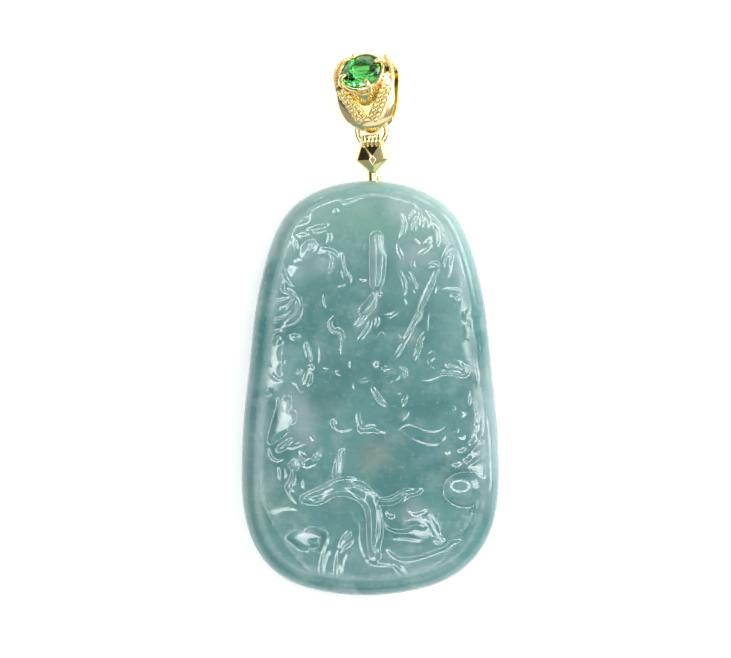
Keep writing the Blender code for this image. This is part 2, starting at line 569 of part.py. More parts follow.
def make_bail(gold):
    """The strap, its collet, prongs and beads as one casting."""
    strap = bmesh.new()
    rings = []
    for (oy, oz), (iy, iz), half in bail_stations():
        fy, fz = np.array((iy - oy, iz - oz)) / math.hypot(iy - oy, iz - oz) * BAIL_EDGE_FALL
        ring = []
        for across, drop in BAIL_CROWN:
            ring.append(strap.verts.new((across * half, oy + drop * fy, oz + drop * fz)))
        ring += [strap.verts.new((half, iy, iz)), strap.verts.new((-half, iy, iz))]
        rings.append(ring)
    for here, after in zip(rings, rings[1:] + rings[:1]):
        for corner in range(len(here)):
            beside = (corner + 1) % len(here)
            strap.faces.new((here[corner], here[beside], after[beside], after[corner]))
    strap.transform(TO_BAIL)
    bail = make_object("bail", strap, gold, 30)

    run = np.subtract(BAR_TOP, BAR_FOOT)
    length = math.hypot(*run)
    beads = bmesh.new()
    for side in (-1, 1):
        to_bar = (TO_BAIL @ TO_FRONT @ Matrix.Translation((side * BAR_FOOT[0], BAR_FOOT[1], 0))
                  @ Matrix.Rotation(-side * math.atan2(run[0], run[1]), 4, "Z"))
        bar = bmesh.new()
        bmesh.ops.create_cube(bar, size=1.0, matrix=to_bar @ Matrix.Translation((0, length / 2, 0))
                              @ Matrix.Diagonal((BAR_WIDTH, length, 2 * BAR_RISE, 1)))
        combine(bail, make_object("bar", bar), "UNION")
        for row in range(BEAD_ROWS):
            x = BAR_WIDTH * ((row + 0.5) / BEAD_ROWS - 0.5)
            for place in range(BEADS_A_ROW):
                y = length * (place + 0.5 + BEAD_STAGGER * (-1) ** row) / BEADS_A_ROW
                bmesh.ops.create_uvsphere(beads, u_segments=6, v_segments=5, radius=BEAD_DIAMETER / 2,
                                          matrix=to_bar @ Matrix.Translation((x, y, BAR_RISE)))
    combine(bail, make_object("beads", beads), "UNION")

    radius = STONE_DIAMETER / 2 + STONE_CLEARANCE
    foot_radius = radius + COLLET_WALL - COLLET_TAPER
    collet = cylinder(foot_radius, -COLLET_DEPTH - STONE_GIRDLE, -STONE_GIRDLE, COLLET_SIDES,
                      radius + COLLET_WALL)
    collet.transform(TO_STONE)
    combine(bail, make_object("collet", collet), "UNION")

    around = [2 * math.pi * place / COLLET_SIDES for place in range(COLLET_SIDES)]
    points = [TO_STONE @ Vector((foot_radius * math.cos(turn), foot_radius * math.sin(turn), -COLLET_DEPTH))
              for turn in around]
    for turn in around:
        y = PEDESTAL_HEIGHT + PEDESTAL_RADIUS * math.sin(turn)
        points.append(TO_BAIL @ Vector((PEDESTAL_RADIUS * math.cos(turn), y, front_of_bail(y) - BAR_RISE)))
    combine(bail, make_object("pedestal", hull(points)), "UNION")

    seat = bmesh.new()
    bmesh.ops.create_cone(seat, cap_ends=True, segments=COLLET_SIDES, radius1=STONE_CLEARANCE, radius2=radius,
                          depth=STONE_PAVILION,
                          matrix=Matrix.Translation((0, 0, -STONE_PAVILION / 2 - STONE_CLEARANCE)))
    mouth = [vert for vert in seat.verts if vert.co.z > -STONE_PAVILION / 2]
    lid = [face for face in seat.faces if all(vert in mouth for vert in face.verts)]
    raised = bmesh.ops.extrude_face_region(seat, geom=lid)["geom"]
    bmesh.ops.delete(seat, geom=lid, context="FACES_ONLY")
    for item in raised:
        if isinstance(item, bmesh.types.BMVert):
            item.co.z += STONE_CROWN + 2 * STONE_CLEARANCE
    seat.transform(TO_STONE)
    combine(bail, make_object("stone_seat", seat), "DIFFERENCE")

    prongs = bmesh.new()
    out = radius + PRONG_DIAMETER / 2
    for prong in range(PRONG_COUNT):
        turn = Matrix.Rotation(math.radians(PRONG_START + 360 * prong / PRONG_COUNT), 4, "Z")
        bmesh.ops.create_cone(prongs, cap_ends=True, segments=8, radius1=PRONG_DIAMETER / 2,
                              radius2=PRONG_TIP_DIAMETER / 2, depth=COLLET_DEPTH + PRONG_RISE,
                              matrix=turn @ Matrix.Translation((out, 0, (PRONG_RISE - COLLET_DEPTH) / 2)))
    prongs.transform(TO_STONE)
    combine(bail, make_object("prongs", prongs), "UNION")


# Green stone, in a frame of its own: zero in the middle of its girdle, +Z out of its table

STONE_LEVEL = front_of_bail(STONE_HEIGHT) + COLLET_STAND + STONE_GIRDLE
TO_STONE = (TO_BAIL @ Matrix.Translation((0, STONE_HEIGHT, STONE_LEVEL))
            @ Matrix.Rotation(math.radians(-STONE_TILT), 4, "X"))


def make_stone():
    """A round brilliant: table, crown facets, girdle, pavilion and culet."""
    radius = STONE_DIAMETER / 2
    table = radius * STONE_TABLE_SHARE
    points = [(0, 0, -STONE_PAVILION)]
    rows = ((16, radius, -STONE_GIRDLE / 2, 0), (16, radius, STONE_GIRDLE / 2, 0),
            (8, table, STONE_CROWN, 0.5),
            (8, radius * STONE_CROWN_KINK[0], STONE_CROWN * STONE_CROWN_KINK[1], 0),
            (8, radius * STONE_PAVILION_KINK[0], -STONE_PAVILION * STONE_PAVILION_KINK[1], 0))
    for count, out, level, offset in rows:
        for place in range(count):
            turn = 2 * math.pi * (place + offset) / count
            points.append((out * math.cos(turn), out * math.sin(turn), level))
    stone = hull(points)
    stone.transform(TO_STONE)
    make_object("green_stone", stone, material("green glass", GREEN, 0.03, 0.0), 1)


def build():
    clear_scene()
    gold = material("gold", GOLD, 0.18, 1.0)
    drill_jade(make_jade())
    make_cap(gold)
    make_link(gold)
    make_bail(gold)
    make_stone()


build()
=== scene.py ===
import math

import bmesh
import bpy
import numpy as np
from mathutils import Matrix, Vector


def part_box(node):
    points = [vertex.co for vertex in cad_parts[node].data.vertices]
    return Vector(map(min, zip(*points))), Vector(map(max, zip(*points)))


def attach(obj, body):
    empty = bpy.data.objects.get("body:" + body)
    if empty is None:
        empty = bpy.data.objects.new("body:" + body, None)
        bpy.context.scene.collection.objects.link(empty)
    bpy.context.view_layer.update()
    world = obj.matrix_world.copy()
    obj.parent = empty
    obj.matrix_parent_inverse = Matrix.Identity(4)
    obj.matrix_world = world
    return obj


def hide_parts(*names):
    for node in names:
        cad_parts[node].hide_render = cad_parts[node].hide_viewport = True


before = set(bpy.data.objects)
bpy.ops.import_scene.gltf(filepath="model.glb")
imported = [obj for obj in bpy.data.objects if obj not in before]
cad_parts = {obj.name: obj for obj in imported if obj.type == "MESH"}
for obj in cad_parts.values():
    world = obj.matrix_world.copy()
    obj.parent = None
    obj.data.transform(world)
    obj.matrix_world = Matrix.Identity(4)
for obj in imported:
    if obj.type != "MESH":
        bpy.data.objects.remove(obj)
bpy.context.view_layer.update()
bpy.ops.object.select_all(action="DESELECT")

# Jade plaque
# One slice of blue-green jade, sawn, ground to a rounded slab with a flat back, and carved on its
# front with rocks, pine foliage and a bent tree. The carving was ground with small wheels and
# then polished all over, so every edge is soft and the face is glossy.

MM = 0.001
plaque_low, plaque_high = [Vector(corner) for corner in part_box("jade_plaque")]
PLAQUE_WIDTH = plaque_high.x - plaque_low.x
PLAQUE_HEIGHT = plaque_high.y - plaque_low.y
EDGE_HEIGHT = 6.0 * MM
CROWN = 0.5 * MM
FRONT_ROUNDING = 1.7 * MM
BACK_ROUNDING = 1.8 * MM
WIDEST_LEVEL = 3.1 * MM
FOOT_LEAN = 0.6 * MM
CARVED_MARGIN = 1.0 * MM
RIM_FULLNESS = 2.5

# Half widths of the outline, foot to top: share of the half width, share of the height
OUTLINE = ((0.57, 0.031), (0.82, 0.089), (0.96, 0.176), (1.0, 0.305), (0.98, 0.437),
           (0.94, 0.553), (0.90, 0.669), (0.83, 0.785), (0.69, 0.901), (0.51, 0.959))
OUTLINE_WAVES = 14

# The carving is drawn on squared paper of this size, with its zero in the middle
DRAWING_WIDTH = 25.8
DRAWING_HEIGHT = 41.4
DRAWING_STEP = 0.05
POLISH = 0.10

# Slope of a flank that mirrors the ring lamp, and how high a cut stands for its width and that slope
BEVEL = 0.12
CREST_SHARE = 1.6

# Slopes to the right and up of a flat cut that mirrors the high box
LIT_RIGHT = 0.215
LIT_UP = 0.06


def smooth_path(knots, closed=False, steps=8):
    """Points on a smooth curve through the knots (a centripetal Catmull-Rom curve)."""
    knots = np.asarray(knots, float)
    if closed:
        chain = np.vstack([knots[-1], knots, knots[:2]])
    else:
        chain = np.vstack([2 * knots[0] - knots[1], knots, 2 * knots[-1] - knots[-2]])
    gaps = np.sqrt(np.linalg.norm(np.diff(chain, axis=0), axis=1))
    path = []
    for start in range(1, len(chain) - 2):
        before, first, last, after = chain[start - 1:start + 3]
        gap_before, gap, gap_after = gaps[start - 1:start + 2]
        middle = (last - first) / gap
        leave = gap * ((first - before) / gap_before - (last - before) / (gap_before + gap) + middle)
        arrive = gap * (middle - (after - first) / (gap + gap_after) + (after - last) / gap_after)
        for step in range(steps):
            t = step / steps
            path.append((2 * t**3 - 3 * t**2 + 1) * first + (t**3 - 2 * t**2 + t) * leave
                        + (3 * t**2 - 2 * t**3) * last + (t**3 - t**2) * arrive)
    if not closed:
        path.append(chain[-2])
    return np.array(path)


def plaque_outline(samples=720):
    """The plaque's closed outline, counter-clockwise, through the half widths."""
    left = [(-across, up) for across, up in reversed(OUTLINE)]
    knots = np.array([(0.0, 0.0), *OUTLINE, (0.0, 1.0), *left])
    path = smooth_path(knots * (PLAQUE_WIDTH / 2, PLAQUE_HEIGHT), closed=True, steps=40)
    loop = np.vstack([path, path[:1]])
    walked = np.concatenate([[0], np.cumsum(np.linalg.norm(np.diff(loop, axis=0), axis=1))])
    even = np.linspace(0, walked[-1], samples, endpoint=False)
    waves = np.fft.fft(np.interp(even, walked, loop[:, 0]) + 1j * np.interp(even, walked, loop[:, 1]))
    waves[OUTLINE_WAVES:-OUTLINE_WAVES] = 0
    rounded = np.fft.ifft(waves)
    points = np.stack([rounded.real, rounded.imag], axis=1)
    low, high = points.min(axis=0), points.max(axis=0)
    points = (points - (low + high) / 2) * (PLAQUE_WIDTH, PLAQUE_HEIGHT) / (high - low)
    below_top = np.clip(0.5 - points[:, 1] / PLAQUE_HEIGHT, 0, 1)
    points[:, 0] -= FOOT_LEAN * below_top ** 12
    return points


def outward(points):
    """The outward direction at each point of a counter-clockwise loop."""
    along = np.roll(points, -1, axis=0) - np.roll(points, 1, axis=0)
    aside = np.stack([along[:, 1], -along[:, 0]], axis=1)
    return aside / np.linalg.norm(aside, axis=1, keepdims=True)


# Squared paper: u to the right, v up, z the height in millimetres. Matt is 1 where the polish is left
# off. The whiteness field is 1 where the stone is painted whitest: whiter stone in places, and a painted
# reflection of the high box on the bright flat cuts. The shading share is 0 round the bright flat cuts,
# where no painted shade of the hollows or painted light of the ridges is laid.
u, v = np.meshgrid(np.arange(-DRAWING_WIDTH / 2 - 1, DRAWING_WIDTH / 2 + 1, DRAWING_STEP),
                   np.arange(-DRAWING_HEIGHT / 2 - 1, DRAWING_HEIGHT / 2 + 1, DRAWING_STEP))
z = np.zeros_like(u)
matt = np.zeros_like(u)
whiteness_and_reflection = np.zeros_like(u)
painted_shading_share = np.ones_like(u)

# How far the crowned face leans outward at each square, as it is seen from above
lean_u = 2 * CROWN / MM * (2 / DRAWING_WIDTH) ** 2 * u + 0.002 * u
lean_v = 2 * CROWN / MM * (2 / DRAWING_HEIGHT) ** 2 * v + 0.002 * (v - 6)


def turned(at, size, turn):
    """Places measured from a centre along two turned axes, as shares of the two sizes."""
    c, s = math.cos(math.radians(turn)), math.sin(math.radians(turn))
    du, dv = u - at[0], v - at[1]
    return (du * c + dv * s) / size[0], (dv * c - du * s) / size[1]


def swell(height, at, size, turn=0.0):
    """A soft rise, or a hollow where the height is below zero."""
    a, b = turned(at, size, turn)
    z[...] += height * np.exp(-(a * a + b * b))


def boulder(height, foot, at, size):
    """A round boulder that stands on a level of its own."""
    a, b = turned(at, size, 0.0)
    dome = np.clip(1 - a * a - b * b, 0, 1)
    z[...] = np.where(dome > 0, np.maximum(z, foot + (height - foot) * dome), z)


def paint_whiteness(amount, at, size, turn=0.0):
    """A soft whiter patch: whiter stone in places, a painted reflection of the high box on flat cuts."""
    a, b = turned(at, size, turn)
    np.maximum(whiteness_and_reflection, amount * np.exp(-(a * a + b * b)), out=whiteness_and_reflection)


def nearest(knots, reach):
    """The squares near a smooth line, how far they are from it, which way, and how far along it."""
    path = smooth_path(np.reshape(knots, (-1, 2)))
    low, high = path.min(axis=0) - reach, path.max(axis=0) + reach
    columns = slice(*np.searchsorted(u[0], (low[0], high[0])))
    near = (slice(*np.searchsorted(v[:, 0], (low[1], high[1]))), columns)
    near_u, near_v = u[near], v[near]
    gap, along = np.full_like(near_u, 99.0), np.zeros_like(near_u)
    foot_u, foot_v = np.zeros_like(near_u), np.zeros_like(near_u)
    for place, (start, end) in enumerate(zip(path[:-1], path[1:])):
        run = end - start
        share = ((near_u - start[0]) * run[0] + (near_v - start[1]) * run[1]) / (run @ run)
        share = np.clip(share, 0, 1)
        on_u, on_v = start[0] + share * run[0], start[1] + share * run[1]
        here = np.hypot(near_u - on_u, near_v - on_v)
        closer = here < gap
        gap = np.where(closer, here, gap)
        foot_u = np.where(closer, on_u, foot_u)
        foot_v = np.where(closer, on_v, foot_v)
        along = np.where(closer, (place + share) / (len(path) - 1), along)
    gap = np.maximum(gap, 1e-6)
    return near, gap, (near_u - foot_u) / gap, (near_v - foot_v) / gap, along


def bevel(near, gap, away_u, away_v, crest):
    """Raise a crest whose flanks fall off through the slope that catches the light."""
    slope_v, slope_u = np.gradient(z[near], DRAWING_STEP)
    over_u, over_v = lean_u[near] - slope_u, lean_v[near] - slope_v
    straight = over_u * away_u + over_v * away_v
    aside = over_u * away_v - over_v * away_u
    fall = np.sqrt(np.clip(BEVEL ** 2 - aside ** 2, 0.001, None)) - straight
    fall = np.clip(fall, 0.05, 0.35) * (0.95 + 3.4 * gap) * gap
    z[near] += np.clip(crest - fall, 0, None)


def strokes(rows, taper=0.5):
    """Low ridges with bevelled flanks, each given by its width, its strength and its knots."""
    for width, strength, *knots in rows:
        near, gap, away_u, away_v, along = nearest(knots, 3 * width)
        ends = taper + (1 - taper) * np.sin(math.pi * along) ** 0.6
        bevel(near, gap, away_u, away_v, CREST_SHARE * BEVEL * width * strength ** 1.5 * ends)


def boss(at, size, band, turn=0.0, strength=1.0):
    """A low flat-topped boss with a bevelled edge of its own width."""
    a, b = turned(at, size, turn)
    out = np.maximum(np.hypot(a, b), 1e-6)
    c, s = math.cos(math.radians(turn)), math.sin(math.radians(turn))
    along_a, along_b = a / size[0], b / size[1]
    steep = np.maximum(np.hypot(along_a, along_b), 1e-6)
    gap = np.maximum((out - 1) * out / steep, 0)
    everywhere = (slice(None), slice(None))
    bevel(everywhere, gap, (along_a * c - along_b * s) / steep, (along_a * s + along_b * c) / steep,
          CREST_SHARE * BEVEL * band * strength ** 1.5)


def limb(height, foot, knots, width, taper=0.6):
    """A round limb that stands on a level of its own, as a branch does."""
    near, gap, away_u, away_v, along = nearest(knots, width)
    half = width * (taper + (1 - taper) * np.sin(math.pi * along) ** 0.6)
    best = np.clip(1 - (gap / half) ** 2, 0, 1)
    z[near] = np.where(best > 0, np.maximum(z[near], foot + (height - foot) * best), z[near])


def facet(corners, middle):
    """A flat cut inside some corners, given clockwise, at the slope that mirrors the high box."""
    inside = np.full_like(u, 9.0)
    for (au, av), (bu, bv) in zip(corners, corners[1:] + corners[:1]):
        across = ((bv - av) * (u - au) - (bu - au) * (v - av)) / math.hypot(bu - au, bv - av)
        inside = np.minimum(inside, across)
    cu, cv = np.mean(corners, axis=0)
    share = np.clip(inside / 0.36, 0, 1)
    # Keep the painted shade of the hollows and the painted light of the ridges off the cut and round it.
    np.minimum(painted_shading_share, np.clip(-inside / 0.7 - 0.3, 0, 1), out=painted_shading_share)
    right = LIT_RIGHT - 2 * CROWN / MM * cu * (2 / DRAWING_WIDTH) ** 2
    up = LIT_UP - 2 * CROWN / MM * cv * (2 / DRAWING_HEIGHT) ** 2
    z[...] += share * (middle - right * (u - cu) - up * (v - cv) - z)


def polish(field, reach):
    """Smooth a field as a felt wheel does, over a reach in squares of the drawing."""
    radius = int(3 * reach / DRAWING_STEP) + 1
    weights = np.exp(-0.5 * (np.arange(-radius, radius + 1) * DRAWING_STEP / reach) ** 2)
    weights /= weights.sum()
    for axis in (0, 1):
        margins = [(radius, radius) if side == axis else (0, 0) for side in (0, 1)]
        padded = np.pad(field, margins, mode="edge")
        field = np.apply_along_axis(np.convolve, axis, padded, weights, "valid")
    return field


# The sunk field, and the hollows between the rocks
for height, at, size, turn in ((-0.14, (0.0, 1.0), (9.0, 14.0), 0), (0.10, (5.6, 14.6), (2.6, 4.0), 10),
                               (-0.12, (-1.4, 13.6), (2.4, 2.8), 0), (-0.12, (-4.0, 2.4), (2.2, 2.4), 0),
                               (-0.10, (5.6, 8.6), (1.8, 2.8), -20), (-0.10, (5.2, -14.9), (2.4, 1.6), 0),
                               (-0.12, (-5.6, -2.0), (2.4, 2.0), 0), (-0.12, (-1.0, -6.2), (2.6, 2.2), 0)):
    swell(height, at, size, turn)

# Big forms: mountain face, finger rock, bell rock, tall rock, rough bark, smooth boulder
limb(0.02, -0.12, (0.65, 15.0, 0.8, 13.4, 0.75, 11.6, 0.6, 10.3), 0.75, 0.8)
swell(0.16, (-8.2, 2.3), (2.4, 3.2), -4)
swell(0.20, (8.4, 6.0), (2.6, 4.6), 4)
swell(0.14, (9.8, -4.2), (2.6, 3.6))
swell(0.10, (4.2, -12.3), (2.2, 1.7), -30)
swell(0.08, (4.6, -15.0), (3.4, 1.6), 6)
boulder(0.30, -0.06, (9.5, -9.95), (2.39, 1.82))
for at, size in (
        ((-7.4, 11.3), (1, 1)), ((-4.8, 12.2), (1.1, 1.1)), ((-6.3, 13.3), (0.8, 0.7)),
        ((-8.3, 13.7), (0.9, 1))):
    swell(0.09, at, size)
    paint_whiteness(0.45, at, size)

# Cuts along the top edge: the hooked cloud and the blunt cuts beside it
strokes((
    (0.4, 1, -5.9, 18.3, -5.2, 18.7, -4.2, 19.1, -3.2, 19.4),
    (0.4, 1, -2.6, 18.35, -1.9, 18.65, -1, 19, -0.2, 19.15, 0.5, 19.5, 1.2, 19.6, 1.9, 19.4),
    (0.28, 0.9, -2.5, 18.6, -2.1, 19, -1.7, 19.4), (0.24, 0.8, -0.9, 18.8, 0.4, 18.9, 1.5, 19)), 0.8)

# Pine foliage at the upper left: two polished leaves, and round tufts with crescents
boss((-6.9, 16.6), (0.75, 0.30), 0.34, 14)
boss((-5.0, 15.7), (0.50, 0.10), 0.30, 14)
for at, size, strength in (
        ((-6.6, 14.95), (0.2, 0.06), 0.95), ((-7, 12.5), (0.25, 0.05), 0.85),
        ((-3.4, 17.4), (0.14, 0.1), 0.85), ((-5.9, 14), (0.5, 0.4), 0.8)):
    boss(at, size, 0.26, 0, strength)
strokes((
    (0.34, 1, -5, 13.3, -4.3, 13.2, -3.9, 12.6, -3.95, 12, -4.3, 11.5),
    (0.3, 0.95, -4.9, 13.7, -4, 13.5, -3.4, 12.9, -3.3, 12, -3.55, 11.2),
    (0.28, 0.9, -7.8, 14.8, -7.5, 14.2, -7.3, 13.4), (0.3, 0.9, -4.1, 15.6, -4, 14.9, -4.3, 14.2),
    (0.24, 0.9, -2.8, 15.6, -2.8, 15.2, -2.8, 14.9),
    (0.34, 1, -3, 13.3, -2.9, 12.3, -2.7, 11.4, -2.4, 10.7),
    (0.3, 0.95, -2.3, 11.3, -2.1, 10.7, -2.2, 10.2), (0.28, 0.95, -3.2, 9.9, -2.8, 9.95, -2.4, 10.1),
    (0.32, 1, -8.5, 10.3, -8.4, 9.8, -7.8, 9.5, -7.5, 9.1), (0.24, 0.85, -9.3, 13.1, -9, 12.8, -8.6, 12.5),
    (0.22, 0.8, -6.1, 15.2, -5.7, 14.4, -5.8, 13.6),
    (0.24, 0.8, -8.6, 12.5, -8.2, 11, -7.4, 10.2, -6.5, 10.4)))

# Finger rock with its lit right border, and the short strokes beside it
strokes((
    (0.26, 0.95, 0.2, 14.6, 0.4, 15.1, 0.9, 15.2, 1.3, 14.7),
    (0.34, 1, 1.15, 13.3, 1.1, 12.3, 1, 11.2, 0.8, 10.3), (0.22, 0.85, 1.4, 14.6, 1.5, 13.6, 1.4, 12.6),
    (0.24, 0.85, -1.3, 15.5, -1.2, 14.7, -1.1, 13.9), (0.26, 0.9, -0.8, 15.5, -0.8, 15.1, -0.9, 14.7),
    (0.22, 0.85, -0.5, 14.5, -0.55, 14, -0.5, 13.6), (0.2, 0.9, -1.7, 15.8, -1.5, 15.75, -1.4, 15.7),
    (0.24, 0.95, -1.1, 10.7, -0.7, 10.4, -0.3, 10.6)))

# Mountain face at the right of the sky: flame-shaped peak, wavy edge, cross cuts and an arch
facet([(4.65, 17.9), (5.0, 16.9), (4.2, 16.2)], 0.03)
strokes((
    (0.32, 1, 4.6, 18, 5, 17.3, 5.1, 16.5, 5, 15.8), (0.26, 0.9, 4.5, 17.5, 4.1, 17, 3.9, 16.5),
    (0.32, 1, 4.5, 16.7, 4.4, 16.1, 4.3, 15.5), (0.24, 0.85, 5.4, 17.2, 5.6, 16.5, 5.5, 15.8),
    (0.3, 0.92, 3.1, 17.1, 3.4, 16.3, 3.3, 15.4, 2.9, 14.7),
    (0.28, 0.95, 2.8, 14.5, 2.8, 13.7, 3.1, 13.1, 3.1, 12.4),
    (0.32, 0.95, 2.8, 11.7, 3.2, 10.9, 3.4, 10, 3.1, 9.1), (0.3, 1, 3.6, 11.6, 4, 11, 4.3, 10.3, 4.5, 9.9),
    (0.24, 0.9, 3.9, 10.4, 4, 9.9, 4.3, 9.3), (0.26, 0.9, 6.2, 16, 6.4, 15.2, 6.5, 14.1),
    (0.28, 0.95, 5.2, 14.1, 5.6, 14.4, 6.1, 14.9), (0.24, 0.9, 4.3, 14.8, 4.6, 14.4, 5, 14),
    (0.28, 0.95, 4.6, 13, 5.2, 13.5, 6, 14.1), (0.24, 0.85, 4.9, 12.6, 5.5, 13, 6.3, 13.3),
    (0.26, 0.95, 4.3, 12.8, 4.2, 12.3, 4.4, 11.7), (0.34, 0.95, 5.6, 12.1, 6.2, 12.3, 6.9, 12),
    (0.34, 0.98, 7.2, 12, 7.2, 12.9, 7.6, 13.5, 8.3, 13.8, 9, 13.4),
    (0.24, 0.9, 7.6, 12, 7.7, 12.6, 8, 13.1), (0.26, 0.95, 6.7, 10.1, 6.7, 9.7, 6.6, 9.3),
    (0.22, 0.8, 7.9, 12.1, 7.7, 11.4, 7.4, 10.6)))
# Painted whiteness: on the flame-shaped peak's flat cut it paints the high box's reflection; the other two
# whiten the cross cuts and the finger rock.
paint_whiteness(0.5, (4.6, 16.9), (0.5, 0.9))
paint_whiteness(0.35, (5.0, 13.6), (1.4, 1.2))
paint_whiteness(0.3, (0.7, 13.9), (0.5, 1.2))

# Leaning rod with its joint, the second rod, and the wing-shaped rocks beside it
facet([(0.7, 9.9), (1.25, 9.6), (0.6, 8.1), (-0.3, 7.3), (-1.2, 7.4)], 0.0)
strokes((
    (0.4, 1, 6.6, 11.8, 6.1, 10.6, 5.5, 9.2, 5, 8.1, 4.8, 7.4), (0.24, 0.8, 5.9, 10.8, 5.3, 9.4, 4.8, 8.3),
    (0.36, 1, 4.5, 6.8, 4.1, 6.1, 3.8, 5.3, 3.2, 4.3, 2.4, 3), (0.26, 0.85, 4.6, 5.9, 4.1, 5, 3.4, 3.9),
    (0.34, 1, 5.4, 5.5, 5, 4.7, 4.7, 3.8, 4.3, 2.8), (0.28, 0.95, 0.5, 9.6, -0.2, 8.4, -1, 7.8),
    (0.4, 0.9, -0.3, 7.3, -0.9, 6.7, -1.6, 6.1), (0.34, 0.97, 0, 6.9, -0.1, 6.2, -0.6, 5.4, -1.3, 4.6),
    (0.36, 0.9, 0.7, 7.1, 0.7, 6.6, 0.4, 6), (0.28, 0.97, 1.2, 7.1, 2, 7.2, 2.8, 7.7),
    (0.26, 0.95, -0.3, 5.3, 0.1, 5, 0.7, 4.9, 1.1, 5.4, 1.4, 5.1, 1.5, 4.6, 1.8, 4.6, 1.8, 5.1),
    (0.26, 0.95, 2.5, 4.6, 2.7, 5.2, 3, 4.7, 3.2, 4.8, 3.5, 5.2), (0.26, 0.9, 3.5, 8.3, 3.3, 8.5, 3.2, 8.9),
    (0.2, 0.8, 0.2, 9, -0.6, 8.2, -1.6, 7.5)))
boss((4.75, 7.05), (0.22, 0.12), 0.30, 60)
# Painted whiteness: on the rod's flat cut it paints the high box's reflection; elsewhere it whitens the
# joint, the wing rocks and the second rod.
for at, size, turn in (
        ((4.75, 7.05), (0.5, 0.4), 0), ((0, 7.9), (0.9, 1.6), -35), ((-0.9, 6.5), (0.7, 1), -35),
        ((4.3, 5), (0.5, 1.2), -25), ((0.5, 6.6), (0.4, 0.7), 0)):
    paint_whiteness(0.5, at, size, turn)

# Fan of leaves at the left, with the cords behind it
strokes((
    (0.34, 1, -7.6, 9.2, -7.25, 8.7, -7.1, 8, -7.4, 7.2, -8.3, 6.5),
    (0.26, 0.95, -7.5, 9, -7.9, 8.2, -8.5, 7.5), (0.24, 0.9, -7.5, 8.4, -7.8, 7.6, -8.5, 7),
    (0.28, 0.88, -6.7, 9.1, -6.6, 8.2, -6.7, 7.2, -7.4, 6.3, -8.6, 6),
    (0.28, 0.9, -9.9, 8.5, -8.9, 8.55, -7.9, 8.9), (0.26, 0.9, -9.8, 6.7, -9, 6.7, -8.3, 7),
    (0.2, 0.9, -9, 7.5, -8.7, 7.8, -8.4, 8.1), (0.2, 0.85, -9.9, 7.6, -9.5, 7.7, -9.1, 7.7)))

# Vine with its hook
strokes((
    (0.3, 0.97, -4.55, 9.3, -4.45, 8.6, -4.2, 7.9), (0.22, 0.9, -4.2, 9, -4.1, 8.6, -3.9, 8.2),
    (0.32, 1, -3.6, 7.1, -3.9, 6.7, -3.95, 6.2, -3.6, 5.75, -3.1, 5.8, -2.8, 5.5, -2.7, 4.8, -2.8, 3.5),
    (0.24, 0.97, -3.5, 7.1, -3.3, 6.8, -3.15, 6.4), (0.22, 0.9, -4.4, 3.75, -4.2, 3.7, -4, 3.8)))

# Bell rock at the left: one wide form with two rings at its top and long cuts down its face
boss((-9.15, 4.65), (0.20, 0.20), 0.26)
boss((-7.4, 4.95), (0.26, 0.10), 0.26)
strokes((
    (0.36, 1, -8.65, 4.5, -8.7, 3.6, -8.75, 2.8), (0.34, 1, -8.75, 2.3, -8.75, 1.9, -8.85, 1.3),
    (0.36, 1, -6.5, 4.5, -6.35, 3.7, -6.1, 2.8), (0.22, 0.85, -9.9, 4.7, -9.4, 5.4, -8.7, 5.5, -8.2, 5.1),
    (0.3, 0.92, -10.1, 4, -10.6, 3.2, -10.3, 2.6, -10, 2.2), (0.22, 0.82, -8.2, 4.4, -8.3, 3, -8.4, 1.4),
    (0.28, 1, -6.4, 2, -6.1, 2.1, -5.8, 1.9), (0.3, 0.97, -7.4, 1.7, -7.1, 1.7, -6.9, 1.9),
    (0.32, 1, -6.3, 1.8, -6.5, 1.2, -6.7, 0.6), (0.28, 0.97, -6.05, 1.5, -6.1, 0.9, -6.3, 0.4),
    (0.26, 1, -4.9, 1.85, -4.5, 1.8, -4, 1.75), (0.26, 0.97, -3.5, 1.6, -3.1, 1.5, -2.7, 1.3),
    (0.22, 0.9, -3.3, 2, -3, 1.9, -2.7, 1.9), (0.28, 0.85, -5.4, 4.4, -5.3, 3.5, -5.35, 2.5),
    (0.26, 0.95, -10.6, -0.2, -10.2, -0.25, -9.8, -0.4), (0.24, 0.88, -5.1, 0.9, -5, 0.4, -4.7, 0),
    (0.22, 0.82, -10, 1.6, -9.3, 1, -8.6, 0.9), (0.22, 0.8, -7.9, 0.9, -7.2, 0.4, -6.9, -0.3)))

# Tall rock at the right: a ring and a spot on its dome, and the broken cuts on the rim beside it
boss((8.25, 8.95), (0.16, 0.14), 0.22)
boss((9.45, 7.15), (0.06, 0.10), 0.26)
facet([(10.6, 3.1), (11.05, 2.9), (11.95, 0.0), (11.5, -0.2), (10.9, 1.6)], 0.05)
strokes((
    (0.26, 0.95, 9.45, 6.1, 9.5, 5.5, 9.45, 4.9), (0.34, 1, 10.2, 9.1, 10.6, 8.2, 10.8, 7.5, 10.8, 6.8),
    (0.32, 0.97, 10.95, 5.8, 10.85, 4.9, 10.5, 3.9), (0.22, 0.82, 6, 7.6, 5.9, 6.2, 6, 4.8),
    (0.24, 0.85, 6.8, 9.3, 7.4, 9.7, 8.8, 9.6), (0.26, 0.95, 10.6, 0.8, 10.65, 0.5, 10.6, 0.2)))

# Broken rock below it: a curled cut and a leaf-shaped loop
strokes((
    (0.28, 1, 7.4, 2.95, 8, 2.55, 8.9, 2.15, 9.35, 1.8, 9.2, 1.45, 8.4, 1.55, 7.3, 1.6, 6.7, 1.8, 6.3, 2.4),
    (0.22, 0.85, 7.8, 2.9, 8.5, 2.7, 9.1, 2.3),
    (0.26, 1, 5.4, 3.2, 5.8, 3.2, 6.2, 3.6, 6.3, 3.2, 5.9, 2.8, 5.9, 2.4, 6.3, 2.2),
    (0.26, 0.93, 4.6, 0.95, 5.6, 0.95, 6.5, 1.2, 7.2, 1.55), (0.2, 0.9, 6.7, 3.5, 6.6, 3.1, 6.8, 2.7)))
boss((7.6, 2.45), (0.08, 0.08), 0.24)

